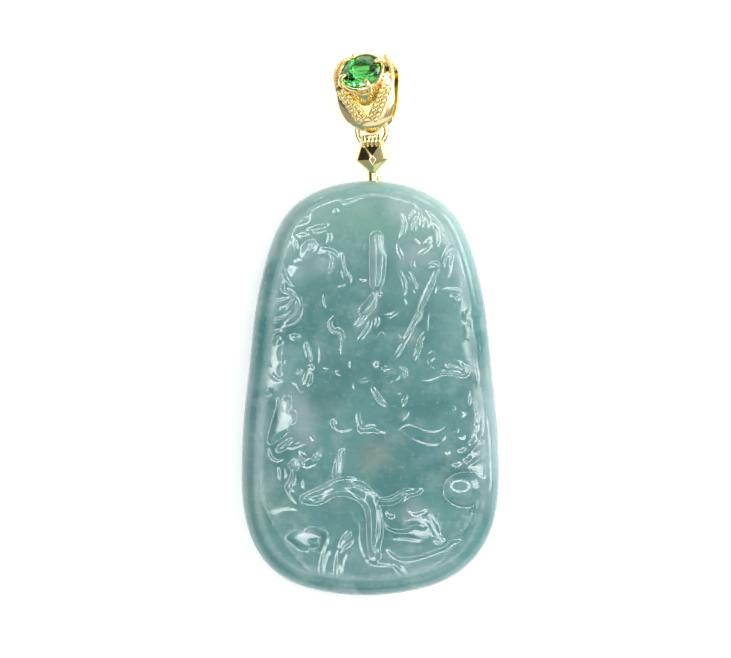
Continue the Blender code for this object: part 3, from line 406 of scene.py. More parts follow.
# Foliage in the middle: leaves that cross, a bright bend and a broken band
boss((0.6, 2.4), (0.12, 0.10), 0.30, 0, 0.95)
strokes((
    (0.28, 0.93, 0.9, 1.3, 1.3, 1.9, 2.2, 2.1, 2.9, 2), (0.26, 0.93, 1.2, 1.25, 2, 1.4, 2.8, 1.85),
    (0.4, 0.95, 3, 1.9, 3.4, 1.7, 3.3, 1.1), (0.26, 0.95, 2.5, 0.9, 2.8, 1.3, 3, 1.8),
    (0.26, 0.9, 1.7, 0.3, 2.1, 0.9, 2.6, 1.2), (0.26, 0.88, 2.2, -0.3, 2.8, -0.35, 3.4, -0.3),
    (0.3, 0.88, -1.3, 0.7, -0.8, 0.75, -0.3, 0.9, 0.4, 1.2), (0.28, 0.9, -1.6, 0.5, -1.5, 0.1, -1.5, -0.2),
    (0.26, 0.88, -2.4, -0.9, -1.6, -0.7, -1, -0.4, -0.5, -0.8, -0.4, -1.2),
    (0.24, 0.9, 1.2, 2.6, 1.2, 2.3, 1.4, 2), (0.36, 1, 0.1, 0.2, 0.6, -0.6, 1.1, -1.3, 1.7, -1.7),
    (0.26, 0.93, 1.9, -1.75, 2.3, -1.6, 2.7, -1.55), (0.3, 0.97, 3.6, -0.6, 3.3, -1.2, 3, -1.8),
    (0.3, 0.97, -1.1, -1.9, -1.2, -2.7, -1, -3.6, -0.95, -4.2),
    (0.38, 1, -0.9, -3.9, -0.3, -3.85, 0.3, -3.8, 0.9, -4.15),
    (0.24, 0.88, 0.7, -3.6, 1.2, -4.1, 1.7, -4.35),
    (0.26, 0.97, -3.6, -3.25, -3.55, -3.7, -3.1, -4, -2.5, -4, -1.9, -3.85),
    (0.24, 0.88, -1.9, 2.7, -1.85, 2.4, -1.9, 2), (0.22, 0.82, -0.9, 2.9, -0.3, 3, 0.3, 2.9),
    (0.2, 0.82, -1.5, -2.6, -1.7, -1.9, -2, -1.2), (0.36, 0.85, 3.8, -2.2, 3.3, -2.8, 2.8, -3.4)))
boss((-3.6, -3.35), (0.08, 0.14), 0.20)
for at, size in (
        ((3.3, 1.5), (0.4, 0.5)), ((-0.5, -4), (0.5, 0.3)), ((3.4, -2.7), (0.7, 0.6)),
        ((0.6, 2.4), (0.3, 0.3)), ((1.9, 1.7), (0.8, 0.4)), ((-0.8, 0.7), (0.5, 0.3))):
    paint_whiteness(0.5, at, size)

# Cloud band and the long leaf
strokes((
    (0.32, 0.88, 2.3, -4.2, 3, -3.75, 3.7, -3.4, 4.5, -3.6, 5.3, -3.95, 6.3, -4.1, 7, -3.9, 7.5, -3.5),
    (0.26, 1, 3.35, -4.25, 4.2, -4.25, 5.2, -4.6, 6.1, -4.8),
    (0.26, 1, 3.4, -4.35, 4.4, -4.85, 5.4, -5.25, 6.2, -5.4, 6.9, -5.3)))

# Rough pine bark at the right: small scales with glints on their edges
for at, size, turn, strength in (
        ((11.35, -1.1), (0.05, 0.6), 0, 1), ((11.3, -3.1), (0.05, 0.35), -15, 1),
        ((11, -4.6), (0.12, 0.12), 0, 0.97), ((10.5, -5.7), (0.2, 0.08), 35, 0.95),
        ((9.5, -6.8), (0.12, 0.08), -30, 0.97), ((8.5, -4.2), (0.06, 0.16), 0, 0.9),
        ((9, -4.7), (0.16, 0.05), -15, 0.85), ((9.6, -1.2), (0.06, 0.3), 0, 0.88),
        ((6.6, -1.2), (0.14, 0.06), 0, 0.85), ((7.2, -4.8), (0.1, 0.22), -30, 0.85),
        ((8.4, -7.3), (0.2, 0.08), 0, 0.85), ((10.8, -7), (0.34, 0.05), 25, 0.88),
        ((10.3, -3.2), (0.12, 0.2), 10, 0.85), ((9, -2.6), (0.2, 0.14), 0, 0.82),
        ((10.2, -1.9), (0.14, 0.24), 0, 0.85), ((8.2, -2), (0.18, 0.12), 20, 0.82),
        ((9.9, -5), (0.14, 0.18), -20, 0.85), ((10.4, -0.6), (0.16, 0.1), 0, 0.85),
        ((8.9, -5.9), (0.18, 0.1), 10, 0.82), ((7.6, -6.2), (0.16, 0.1), -20, 0.82),
        ((12.3, -4.8), (0.03, 0.7), 4, 1)):
    boss(at, size, 0.24, turn, strength)

# Foliage at the lower left, below a long smooth slope
facet([(-9.25, -0.8), (-7.9, -0.9), (-7.9, -3.9), (-9.25, -4.0)], 0.0)
facet([(-9.3, -1.9), (-7.45, -2.3), (-7.4, -3.2), (-8.3, -4.4), (-10.1, -5.5), (-9.9, -4.3)], 0.09)
facet([(-3.45, -6.0), (-2.45, -6.0), (-2.6, -7.4), (-3.0, -8.9), (-3.75, -8.8)], -0.10)
facet([(-7.1, -6.3), (-6.5, -7.8), (-7.4, -8.15), (-8.15, -7.7)], 0.0)
facet([(-4.5, -5.6), (-4.6, -6.5), (-5.4, -7.15), (-5.9, -6.95)], 0.0)
strokes((
    (0.38, 1, -9.1, -6.1, -8.4, -5.6, -7.6, -5), (0.3, 0.92, -8, -5.9, -7.2, -5.6, -6.2, -5.3),
    (0.24, 0.85, -8.9, -4.7, -7.7, -4.2, -6.6, -4.2, -5, -4.1),
    (0.28, 0.97, -5.9, -4.7, -5.6, -5, -5.2, -4.6),
    (0.26, 0.88, -9.9, -6, -9.6, -6.7, -9, -6.95, -8.2, -6.6),
    (0.26, 1, -7, -6.1, -6.5, -6.3, -6.1, -6.7, -6.5, -6.9, -6.9, -6.6),
    (0.34, 1, -7.6, -8.1, -7.6, -9, -7.9, -9.7, -7.6, -10),
    (0.26, 0.93, -6.6, -7.8, -5.8, -7.5, -5.1, -7.2),
    (0.26, 0.88, -4.3, -5.7, -4.15, -6.5, -4.4, -7.4, -4.9, -8),
    (0.26, 0.88, -6.5, -9, -6.5, -9.4, -6.6, -9.8), (0.24, 0.85, -9, -7.8, -8.8, -8.2, -8.9, -8.9),
    (0.24, 0.85, -8.4, -7.9, -8.2, -8.4, -8.4, -8.8), (0.22, 0.85, -5.8, -5.6, -5.2, -5.4, -4.7, -5.3),
    (0.2, 0.82, -8.3, -9.4, -7.9, -10.4, -7.2, -11.4)))
# Painted reflection: each whitened patch lies on one of the flat cuts above and paints the high box's
# reflection there.
for at, size, turn in (
        ((-8.6, -2.2), (0.8, 1.8), 10), ((-7.4, -7.4), (0.7, 0.9), -20), ((-5.1, -6.4), (0.4, 0.7), -30),
        ((-3.1, -7.3), (0.5, 1.4), -8)):
    paint_whiteness(0.6, at, size, turn)

# Pale cuts on the rim beside the boulder
facet([(10.85, -9.8), (11.1, -10.8), (11.0, -12.4), (10.1, -12.2)], 0.1)
facet([(11.5, -14.0), (10.5, -15.3), (9.5, -15.6), (10.3, -14.7)], 0.0)

# Bent tree: branches, trunk, and the bark lines along them
limb(0.04, -0.14, (-6.6, -10.9, -5.2, -10.5, -3.8, -9.9, -2.2, -9.7, -0.8, -10.2, 0.2, -11.2), 0.95)
limb(0.04, -0.14, (-0.4, -10.6, 0.3, -12.2, 0.4, -14.4, 0.4, -16.8), 1.10, 0.8)
limb(0.02, -0.14, (0.8, -11.2, 2.0, -11.1, 3.2, -10.5, 4.9, -10.1), 0.65)
strokes((
    (0.32, 1, -6.5, -11, -5.5, -11.2, -4.8, -11, -4, -10.5, -3, -10.2, -2, -10.4, -1.1, -10.9, -0.6, -11.3),
    (0.26, 0.88, -4.1, -9.5, -3, -9.1, -1.7, -9, -0.8, -9.25, 0.3, -9.9, 1.2, -10.6),
    (0.44, 1, -1.5, -9.65, -0.6, -9.95, 0.2, -10.45, 0.9, -11),
    (0.3, 1, -0.1, -11.6, 0.1, -12.5, 0.15, -14, 0.15, -15, 0.35, -16, 0.8, -16.6),
    (0.22, 0.88, 0.4, -11.8, 0.55, -13, 0.5, -14.4, 0.5, -15.5),
    (0.28, 0.97, 0.8, -12.1, 1, -13.2, 0.95, -14.4, 0.7, -15.4),
    (0.32, 1, 1.5, -11.2, 2.3, -11.1, 2.9, -10.8, 3.4, -10.25, 4, -10.05),
    (0.28, 0.95, 3, -11.4, 3.3, -10.95, 3.9, -10.5, 4.8, -10.35),
    (0.24, 0.82, 2.8, -9.8, 3.8, -9.6, 5, -9.85),
    (0.24, 0.8, -1.2, -12.2, -0.9, -13.6, -0.9, -15.2, -0.5, -16.6),
    (0.22, 0.82, -6.2, -10.4, -4.8, -10, -3.6, -9.7), (0.2, 0.82, -1.9, -11.9, -1.5, -12.6, -1.5, -13.4)))
boss((2.0, -12.3), (0.26, 0.20), 0.26, -30, 0.85)

# Ground: a bright hollow with a pool, banks, roots and cut strokes
facet([(-8.3, -14.8), (-7.5, -14.1), (-5.6, -13.9), (-4.35, -14.4), (-4.6, -15.2), (-5.1, -16.4),
       (-7.0, -15.9)], -0.10)
boulder(-0.02, -0.14, (-5.9, -15.35), (0.85, 0.42))
strokes((
    (0.28, 1, 1.4, -12.9, 1.7, -13.5, 2.5, -13.85, 3.5, -13.85, 4.4, -13.45, 5.3, -13.75),
    (0.28, 1, 1.8, -15.8, 2.4, -16.3, 3.1, -16.65, 4.2, -16.6, 5.4, -16.3, 6.6, -15.9, 7.3, -15.7),
    (0.26, 0.93, 7, -15.8, 7.5, -15.5, 7.8, -15.1, 9, -14.85),
    (0.32, 0.88, 5.5, -12.6, 6.2, -13.6, 6.7, -14.5, 7.7, -15),
    (0.3, 0.95, 2.4, -17.3, 2.9, -17.7, 3.4, -18.4), (0.36, 1, -2.05, -14.1, -2.5, -14.8, -2.95, -15.5),
    (0.28, 0.93, -1.75, -14.9, -2.4, -15.4, -3, -16), (0.3, 0.9, -4.2, -15.6, -4.6, -16.9, -4.75, -18.1),
    (0.3, 0.92, -3.1, -16.1, -3.2, -17.3, -3.4, -18.7), (0.24, 0.88, -2.4, -16.2, -2.8, -17, -2.85, -18),
    (0.24, 0.85, -3.8, -14.5, -4, -15.3, -4, -16.3), (0.24, 0.82, -0.4, -16.9, 0.6, -17.2, 1.8, -17.3),
    (0.26, 0.82, 3.6, -11.8, 4.4, -12.2, 5.4, -12), (0.24, 0.85, 6.3, -14.9, 6.8, -15.1, 7.2, -15.3),
    (0.22, 0.8, -9.6, -12.2, -8.4, -11.7, -7.2, -11.9), (0.22, 0.78, 2, -14.8, 3.4, -14.7, 4.8, -15)))
# Painted whiteness: on the bright hollow and its pool it paints the high box's reflection; the other two
# whiten the bank at the right and the tree's fork.
for amount, at, size in (
        (0.8, (-6.6, -14.4), (1.3, 0.5)), (0.5, (-6.3, -16), (1, 0.2)), (0.3, (4.6, -12.2), (1.4, 0.8)),
        (0.4, (0.3, -10.5), (0.8, 0.4))):
    paint_whiteness(amount, at, size)

# Less polish at the foot of the rim: all along the left, in pieces on the right
PIECE_TURN = 1.185
PIECE_AT = 1.5
rim = plaque_outline()
inset = 1.70 - 0.35 * np.clip(rim[:, 1] / PLAQUE_HEIGHT * 2, 0, 1) ** 4
soft_edge = rim / MM - outward(rim) * inset[:, None]
near, gap, away_u, away_v, along = nearest(np.vstack([soft_edge, soft_edge[:7]])[::6], 1.0)
broken = np.clip(0.45 - 0.6 * np.cos(PIECE_TURN * (v[near] - PIECE_AT)), 0, 0.9)
right = np.where(v[near] < -10, 0.9, broken)
left = np.clip((15 - v[near]) / 3, 0, 1)
reached = np.where(u[near] > 0, right, left)
reached = np.maximum(reached, 0.9 * np.clip(3.5 - np.abs(u[near]), 0, 1))
band = 0.65 * reached * np.clip(1.2 - 1.2 * (gap / 0.65) ** 2, 0, 1)
matt[near] = np.maximum(matt[near], band)

carved = polish(z, POLISH)
# Painted shade and light from the relief's shape: above zero in hollows, which the jade colour darkens as
# shade, below zero on ridges, which it paints paler as light; kept off round the flat cuts.
hollow_shade_ridge_light = np.clip(polish(carved, 0.9) - carved, -1, 1) * polish(painted_shading_share, 0.15)
matt = polish(matt, 0.2)
whiteness_and_reflection = polish(whiteness_and_reflection, 0.12)


def read_drawing(field, x, y):
    """Values of a drawn field at places on the plaque."""
    column = (x / PLAQUE_WIDTH * DRAWING_WIDTH - u[0, 0]) / DRAWING_STEP
    row = (y / PLAQUE_HEIGHT * DRAWING_HEIGHT - v[0, 0]) / DRAWING_STEP
    left = np.clip(column.astype(int), 0, field.shape[1] - 2)
    below = np.clip(row.astype(int), 0, field.shape[0] - 2)
    a, b = np.clip(column - left, 0, 1), np.clip(row - below, 0, 1)
    low = field[below, left] * (1 - a) + field[below, left + 1] * a
    high = field[below + 1, left] * (1 - a) + field[below + 1, left + 1] * a
    return low * (1 - b) + high * b


def front_level(x, y, depth_in):
    """Level of the carved front: a crowned face, its rounded edge and the carving."""
    around = np.hypot(x / (PLAQUE_WIDTH / 2), y / (PLAQUE_HEIGHT / 2))
    crown = CROWN * np.clip(1 - around ** 2, 0, 1)
    out = np.clip(1 - depth_in / FRONT_ROUNDING, 0, 1)
    fall = np.clip(1 - out ** RIM_FULLNESS, 0, 1) ** (1 / RIM_FULLNESS)
    level = WIDEST_LEVEL + (EDGE_HEIGHT - WIDEST_LEVEL + crown) * fall
    kept = np.clip(depth_in / CARVED_MARGIN, 0, 1)
    return level + MM * read_drawing(carved, x, y) * kept * kept * (3 - 2 * kept)


CELLS_ACROSS = 215
CELLS_UP = 340
EDGE_STEPS = 9

inner_rim = rim - outward(rim) * FRONT_ROUNDING
rim_angle = np.unwrap(np.arctan2(inner_rim[:, 1], inner_rim[:, 0]))

bpy.ops.mesh.primitive_grid_add(x_subdivisions=CELLS_ACROSS, y_subdivisions=CELLS_UP, size=2)
jade = bpy.context.object
jade.name = "carved_plaque"
corners = np.empty(len(jade.data.vertices) * 3)
jade.data.vertices.foreach_get("co", corners)
corners = corners.reshape(-1, 3)
a, b = corners[:, 0], corners[:, 1]
disc = np.stack([a * np.sqrt(1 - b * b / 2), b * np.sqrt(1 - a * a / 2)], axis=1)
share_out = np.hypot(disc[:, 0], disc[:, 1])
turn = np.arctan2(disc[:, 1] * PLAQUE_HEIGHT, disc[:, 0] * PLAQUE_WIDTH)
turn = rim_angle[0] + (turn - rim_angle[0]) % (2 * math.pi)
reach = np.interp(turn, np.append(rim_angle, rim_angle[0] + 2 * math.pi),
                  np.append(np.hypot(*inner_rim.T), math.hypot(*inner_rim[0])))
x, y = share_out * reach * np.cos(turn), share_out * reach * np.sin(turn)
depth_in = np.full(len(x), FRONT_ROUNDING)
near_rim = np.flatnonzero(share_out > 0.6)
for group in np.array_split(near_rim, 40):
    gaps = np.hypot(rim[None, :, 0] - x[group, None], rim[None, :, 1] - y[group, None])
    depth_in[group] = gaps.min(axis=1)
corners = np.stack([x, y, front_level(x, y, depth_in)], axis=1)
jade.data.vertices.foreach_set("co", corners.ravel())
jade.data.update()

shape = bmesh.new()
shape.from_mesh(jade.data)
border = sorted({vert for edge in shape.edges if edge.is_boundary for vert in edge.verts},
                key=lambda vert: math.atan2(vert.co.y, vert.co.x))
inside = np.array([vert.co[:2] for vert in border])
aside = outward(inside)
widest = inside + aside * FRONT_ROUNDING
rings = []
for step in range(1, EDGE_STEPS + 1):
    out = FRONT_ROUNDING * math.sin(math.pi / 2 * step / EDGE_STEPS)
    place = inside + aside * out
    rings.append((place, front_level(place[:, 0], place[:, 1], np.full(len(place), FRONT_ROUNDING - out))))
for step in range(1, EDGE_STEPS + 1):
    part = math.pi / 2 * step / EDGE_STEPS
    place = widest - aside * BACK_ROUNDING * (1 - math.cos(part))
    rings.append((place, np.full(len(place), WIDEST_LEVEL * (1 - math.sin(part)))))
for place, level in rings:
    ring = [shape.verts.new((px, py, pz)) for (px, py), pz in zip(place, level)]
    for here in range(len(ring)):
        after = (here + 1) % len(ring)
        shape.faces.new((border[here], border[after], ring[after], ring[here]))
    border = ring
shape.faces.new(border)
bmesh.ops.recalc_face_normals(shape, faces=shape.faces)
shape.to_mesh(jade.data)
shape.free()
jade.data.shade_smooth()

heights = np.array([vert.co[:] for vert in jade.data.vertices])
for name, field in (("hollow_shade_ridge_light", hollow_shade_ridge_light), ("matt", matt), ("whiteness_and_reflection", whiteness_and_reflection)):
    kept = jade.data.attributes.new(name, "FLOAT", "POINT")
    kept.data.foreach_set("value", read_drawing(field, heights[:, 0], heights[:, 1]).astype(np.float32))

# Clouded stone: noise at three sizes, and soft spots where the photograph shows paler or greener stone;
# some of the spots are painted light.
clouds = bpy.data.node_groups.new("jade clouds", "ShaderNodeTree")
clouds.interface.new_socket("Color", in_out="OUTPUT", socket_type="NodeSocketColor")
clouds.interface.new_socket("Roughness", in_out="OUTPUT", socket_type="NodeSocketFloat")
nodes, links = clouds.nodes, clouds.links


def add(kind, **values):
    """A node with its inputs and settings filled in."""
    node = nodes.new(kind)
    for name, value in values.items():
        if name.startswith("in_"):
            node.inputs[int(name[3:])].default_value = value
        else:
            setattr(node, name, value)
    return node


place = add("ShaderNodeTexCoord")
millimetres = add("ShaderNodeVectorMath", operation="SCALE")
millimetres.inputs["Scale"].default_value = 1 / MM
links.new(place.outputs["Object"], millimetres.inputs[0])
apart = add("ShaderNodeSeparateXYZ")
links.new(millimetres.outputs[0], apart.inputs[0])


def noise(scale, detail, distortion=0.0):
    """Soft noise over the stone, its scale in turns per millimetre."""
    node = add("ShaderNodeTexNoise")
    node.inputs["Scale"].default_value = scale
    node.inputs["Detail"].default_value = detail
    node.inputs["Roughness"].default_value = 0.55
    node.inputs["Distortion"].default_value = distortion
    links.new(millimetres.outputs[0], node.inputs["Vector"])
    return node.outputs["Fac"]


def ramp(value, low, high, to_low=0.0, to_high=1.0):
    """A value spread between two limits."""
    node = add("ShaderNodeMapRange", interpolation_type="SMOOTHSTEP")
    node.inputs["From Min"].default_value = low
    node.inputs["From Max"].default_value = high
    node.inputs["To Min"].default_value = to_low
    node.inputs["To Max"].default_value = to_high
    links.new(value, node.inputs["Value"])
    return node.outputs["Result"]


def tint(colour, by, other):
    """The colour moved towards another by a share."""
    node = add("ShaderNodeMix", data_type="RGBA")
    links.new(by, node.inputs[0])
    links.new(colour, node.inputs[6])
    node.inputs[7].default_value = (*other, 1)
    return node.outputs[2]


def spot(at, size, strength):
    """A soft round spot with a ragged edge, for other stone and for painted light."""
    away = add("ShaderNodeVectorMath", operation="SUBTRACT")
    links.new(warped, away.inputs[0])
    away.inputs[1].default_value = (at[0], at[1], 5.0)
    shares = add("ShaderNodeVectorMath", operation="DIVIDE")
    links.new(away.outputs[0], shares.inputs[0])
    shares.inputs[1].default_value = (size[0], size[1], 12.0)
    length = add("ShaderNodeVectorMath", operation="LENGTH")
    links.new(shares.outputs[0], length.inputs[0])
    return ramp(length.outputs["Value"], 1.0, 0.1, 0.0, strength)


ragged = add("ShaderNodeTexNoise")
ragged.inputs["Scale"].default_value = 0.35
ragged.inputs["Detail"].default_value = 3.0
links.new(millimetres.outputs[0], ragged.inputs["Vector"])
shift = add("ShaderNodeVectorMath", operation="MULTIPLY_ADD")
links.new(ragged.outputs["Color"], shift.inputs[0])
shift.inputs[1].default_value = (3.4, 3.4, 0)
shift.inputs[2].default_value = (-1.7, -1.7, 0)
moved = add("ShaderNodeVectorMath", operation="ADD")
links.new(millimetres.outputs[0], moved.inputs[0])
links.new(shift.outputs[0], moved.inputs[1])
warped = moved.outputs[0]

ground = add("ShaderNodeRGB")
ground.outputs[0].default_value = (0.145, 0.345, 0.335, 1)
colour = ground.outputs[0]
colour = tint(colour, ramp(noise(0.16, 2.0, 0.6), 0.40, 0.62, 0.0, 0.70), (0.070, 0.235, 0.23))
colour = tint(colour, ramp(noise(0.42, 3.0, 0.4), 0.48, 0.68, 0.0, 0.50), (0.30, 0.45, 0.44))
colour = tint(colour, ramp(noise(0.8, 3.0, 0.8), 0.50, 0.70, 0.0, 0.35), (0.085, 0.265, 0.245))
colour = tint(colour, ramp(apart.outputs["Y"], 6.0, 21.0, 0.0, 0.65), (0.38, 0.575, 0.53))
# Some spots are painted light: the pale ones at the upper right and down the right rim paint the light and
# reflection of the right windows, the pale lilac one at the lower left paints the reflection on the flat cuts
# there, and the grey one down the left rim paints that side's shading.
for at, size, strength, shade in (
        ((7.5, 18), (6, 5), 0.6, (0.5, 0.66, 0.62)), ((-9, 17), (6, 5), 0.4, (0.36, 0.52, 0.5)),
        ((0.5, 16.5), (3.4, 3.4), 0.6, (0.2, 0.42, 0.34)),
        ((0.4, -6.8), (4.4, 3), 0.75, (0.27, 0.375, 0.335)), ((-7, -3), (3, 4.5), 0.6, (0.45, 0.52, 0.54)),
        ((8.4, -12.5), (3.6, 2.6), 0.5, (0.15, 0.38, 0.33)), ((12, -4), (2.6, 12), 0.7, (0.42, 0.54, 0.55)),
        ((-12, -8), (3, 14), 0.45, (0.3, 0.42, 0.43)), ((2, -17.5), (12, 3.6), 0.5, (0.28, 0.44, 0.45)),
        ((-10.3, 11.3), (0.9, 2.6), 0.8, (0.05, 0.16, 0.15)),
        ((-3.5, 1.5), (6, 5), 0.45, (0.1, 0.25, 0.25)), ((4, -2), (4.5, 4), 0.4, (0.11, 0.28, 0.275)),
        ((-10.5, -12), (3.4, 4), 0.4, (0.17, 0.36, 0.29)), ((5.5, 9.5), (6, 5), 0.35, (0.26, 0.46, 0.43)),
        ((2.2, 11), (2, 4), 0.6, (0.12, 0.32, 0.3)), ((-4.5, 9.4), (3.4, 1.8), 0.6, (0.09, 0.25, 0.24)),
        ((3.2, 18.2), (3, 2.2), 0.6, (0.48, 0.62, 0.64)), ((4.6, 13.4), (2.2, 2.2), 0.6, (0.38, 0.5, 0.5)),
        ((0.7, 13.9), (1, 2), 0.6, (0.38, 0.5, 0.48)), ((-4.4, -0.8), (2.6, 2), 0.6, (0.08, 0.23, 0.22)),
        ((4.4, -0.4), (2.4, 2.2), 0.6, (0.09, 0.28, 0.26)),
        ((5, -6.6), (3.6, 2.6), 0.5, (0.11, 0.28, 0.29)), ((7.4, -11.6), (2, 3), 0.6, (0.12, 0.34, 0.29)),
        ((4.2, -12.2), (2.4, 1.8), 0.5, (0.35, 0.43, 0.41)),
        ((-8.5, -17), (4.5, 2.4), 0.5, (0.14, 0.3, 0.31)), ((-3, -12.6), (3.6, 2), 0.5, (0.11, 0.28, 0.27)),
        ((-6.2, 12.4), (3.6, 2.6), 0.5, (0.28, 0.45, 0.46)), ((9, 13.4), (2.4, 5), 0.5, (0.42, 0.58, 0.58)),
        ((-8.4, 1.8), (3, 4), 0.45, (0.24, 0.42, 0.42)), ((8.4, 5), (2.6, 5), 0.4, (0.24, 0.44, 0.43))):
    colour = tint(colour, spot(at, size, strength), shade)
# Painted shade in the carving's hollows, and painted light on its ridges.
cut = add("ShaderNodeAttribute", attribute_name="hollow_shade_ridge_light")
colour = tint(colour, ramp(cut.outputs["Fac"], 0.008, 0.07, 0.0, 0.60), (0.08, 0.22, 0.22))
colour = tint(colour, ramp(cut.outputs["Fac"], -0.015, -0.12, 0.0, 0.40), (0.40, 0.56, 0.55))
frosted = add("ShaderNodeAttribute", attribute_name="matt")
# Painted whiteness: whiter stone, and a painted reflection of the high box on the flat cuts.
whiteness_node = add("ShaderNodeAttribute", attribute_name="whiteness_and_reflection")
colour = tint(colour, ramp(whiteness_node.outputs["Fac"], 0.05, 0.9, 0.0, 0.65), (0.54, 0.65, 0.66))
flecks = noise(2.2, 4.0)
colour = tint(colour, ramp(flecks, 0.55, 0.80, 0.0, 0.30), (0.45, 0.62, 0.60))
colour = tint(colour, ramp(flecks, 0.42, 0.22, 0.0, 0.30), (0.10, 0.24, 0.23))
result = add("NodeGroupOutput")
links.new(colour, result.inputs["Color"])
rough = add("ShaderNodeMath", operation="MULTIPLY_ADD", in_1=0.38)
links.new(frosted.outputs["Fac"], rough.inputs[0])
links.new(ramp(noise(1.1, 3.0), 0.3, 0.75, 0.06, 0.12), rough.inputs[2])
links.new(rough.outputs[0], result.inputs["Roughness"])

stone = bpy.data.materials.new("jade")
stone.use_nodes = True
shader = stone.node_tree.nodes["Principled BSDF"]
pattern = stone.node_tree.nodes.new("ShaderNodeGroup")
pattern.node_tree = clouds
stone.node_tree.links.new(pattern.outputs["Color"], shader.inputs["Base Color"])
stone.node_tree.links.new(pattern.outputs["Roughness"], shader.inputs["Roughness"])
shader.inputs["IOR"].default_value = 1.66
shader.inputs["Subsurface Weight"].default_value = 0.85
shader.inputs["Subsurface Radius"].default_value = (0.7, 1.0, 1.0)
shader.inputs["Subsurface Scale"].default_value = 0.9 * MM
jade.data.materials.append(stone)

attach(jade, "root")
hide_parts("jade_plaque")

# Peg cap
# A cast gold cap over the hole in the plaque's top: a kite-shaped faceted body with a polished
# bevel round its edge, a little crown on top that carries the eye for the ring, and a round peg
# below that is glued into the stone.

CAP_TOP = 3.55 * MM
CAP_BELLY = 1.55 * MM
CAP_HALF_WIDTH = 1.8 * MM
CAP_TOP_HALF_WIDTH = 1.1 * MM
CAP_EYE = 2.95 * MM
CAP_LEAN = math.radians(3)
to_cap = Matrix.Translation((0.3 * MM, 21.55 * MM, WIDEST_LEVEL)) @ Matrix.Rotation(CAP_LEAN, 4, "Z")

gold = bpy.data.materials.new("gold")
gold.use_nodes = True
gold_shader = gold.node_tree.nodes["Principled BSDF"]
gold_shader.inputs["Base Color"].default_value = (0.93, 0.78, 0.41, 1)
gold_shader.inputs["Metallic"].default_value = 1.0
gold_shader.inputs["Roughness"].default_value = 0.11


def take_up(part):
    """Select a part alone."""
    bpy.ops.object.select_all(action="DESELECT")
    part.select_set(True)
    bpy.context.view_layer.objects.active = part


def place_in_mesh(part, matrix):
    """Move a part by a matrix and keep its place in its mesh."""
    part.matrix_basis = matrix @ part.matrix_basis
    take_up(part)
    bpy.ops.object.transform_apply(location=True, rotation=True, scale=True)


def soften(part, width, segments=3, angle=30.0):
    """Round the sharp edges of a part and shade it smooth between them."""
    rounding = part.modifiers.new("soft edges", "BEVEL")
    rounding.width = width
    rounding.segments = segments
    rounding.limit_method = "ANGLE"
    rounding.angle_limit = math.radians(angle)
    take_up(part)
    bpy.ops.object.modifier_apply(modifier=rounding.name)
    bpy.ops.object.shade_smooth_by_angle(angle=math.radians(angle))


def join(parts, name):
    """Join parts into one object."""
    bpy.ops.object.select_all(action="DESELECT")
    for part in parts:
        part.select_set(True)
    bpy.context.view_layer.objects.active = parts[0]
    bpy.ops.object.join()
    parts[0].name = name
    return parts[0]


def mesh_object(name, shape):
    """Put a built shape into the scene as an object."""
    bmesh.ops.recalc_face_normals(shape, faces=shape.faces)
    mesh = bpy.data.meshes.new(name)
    shape.to_mesh(mesh)
    shape.free()
    part = bpy.data.objects.new(name, mesh)
    bpy.context.collection.objects.link(part)
    return part


def tube(name, knots, radii, sides=16, steps=6):
    """A round rod along a smooth line, with a dome at each end."""
    path = smooth_path(knots, steps=steps)
    widths = np.interp(np.linspace(0, 1, len(path)), np.linspace(0, 1, len(radii)), radii)
    along = np.gradient(path, axis=0)
    along /= np.linalg.norm(along, axis=1, keepdims=True)
    stations = []
    for end, sign in ((0, -1), (-1, 1)):
        dome = [(path[end] + sign * along[end] * widths[end] * math.sin(part),
                 along[end], widths[end] * math.cos(part)) for part in np.linspace(0.25, 1.5, 5)]
        stations.append(dome[::-1] if sign < 0 else dome)
    stations = stations[0] + list(zip(path, along, widths)) + stations[1]
    aside = np.cross(along[0], (0.31, 0.93, 0.2))
    shape = bmesh.new()
    rings = []
    for centre, way, radius in stations:
        aside = aside - way * (aside @ way)
        aside /= np.linalg.norm(aside)
        over = np.cross(way, aside)
        ring = []
        for side in range(sides):
            turned_by = 2 * math.pi * side / sides
            out = aside * math.cos(turned_by) + over * math.sin(turned_by)
            ring.append(shape.verts.new(centre + radius * out))
        rings.append(ring)
    for here, after in zip(rings, rings[1:]):
        for side in range(sides):
            beside = (side + 1) % sides
            shape.faces.new((here[side], here[beside], after[beside], after[side]))
    shape.faces.new(rings[0])
    shape.faces.new(rings[-1])
    part = mesh_object(name, shape)
    part.data.shade_smooth()
    return part


kite = ((0, 0), (CAP_HALF_WIDTH, CAP_BELLY), (CAP_TOP_HALF_WIDTH, CAP_TOP),
        (-CAP_TOP_HALF_WIDTH, CAP_TOP), (-CAP_HALF_WIDTH, CAP_BELLY))
shape = bmesh.new()
for side in (-1, 1):
    for px, py in kite:
        shape.verts.new((px, py, side * 0.45 * MM))
        shape.verts.new((px * 0.86, CAP_BELLY + (py - CAP_BELLY) * 0.86, side * 0.95 * MM))
    for px, py in ((0, -0.62), (0.34, 0.0), (0.0, 0.40), (-0.34, 0.0)):
        shape.verts.new((px * MM, CAP_BELLY + py * MM, side * 1.48 * MM))
bmesh.ops.convex_hull(shape, input=shape.verts)
bmesh.ops.dissolve_limit(shape, angle_limit=math.radians(1), verts=shape.verts, edges=shape.edges)
cap_body = mesh_object("cap_body", shape)
bpy.ops.mesh.primitive_cube_add(size=1, location=(0, CAP_EYE + 0.72 * MM, 0))
slot_cutter = bpy.context.object
slot_cutter.scale = (6 * MM, 2.6 * MM, 0.9 * MM)
slot_cut = cap_body.modifiers.new("slot", "BOOLEAN")
slot_cut.object = slot_cutter
slot_cut.operation = "DIFFERENCE"
bpy.context.view_layer.objects.active = cap_body
bpy.ops.object.modifier_apply(modifier="slot")
bpy.data.objects.remove(slot_cutter)
soften(cap_body, 0.05 * MM, 3, 12)

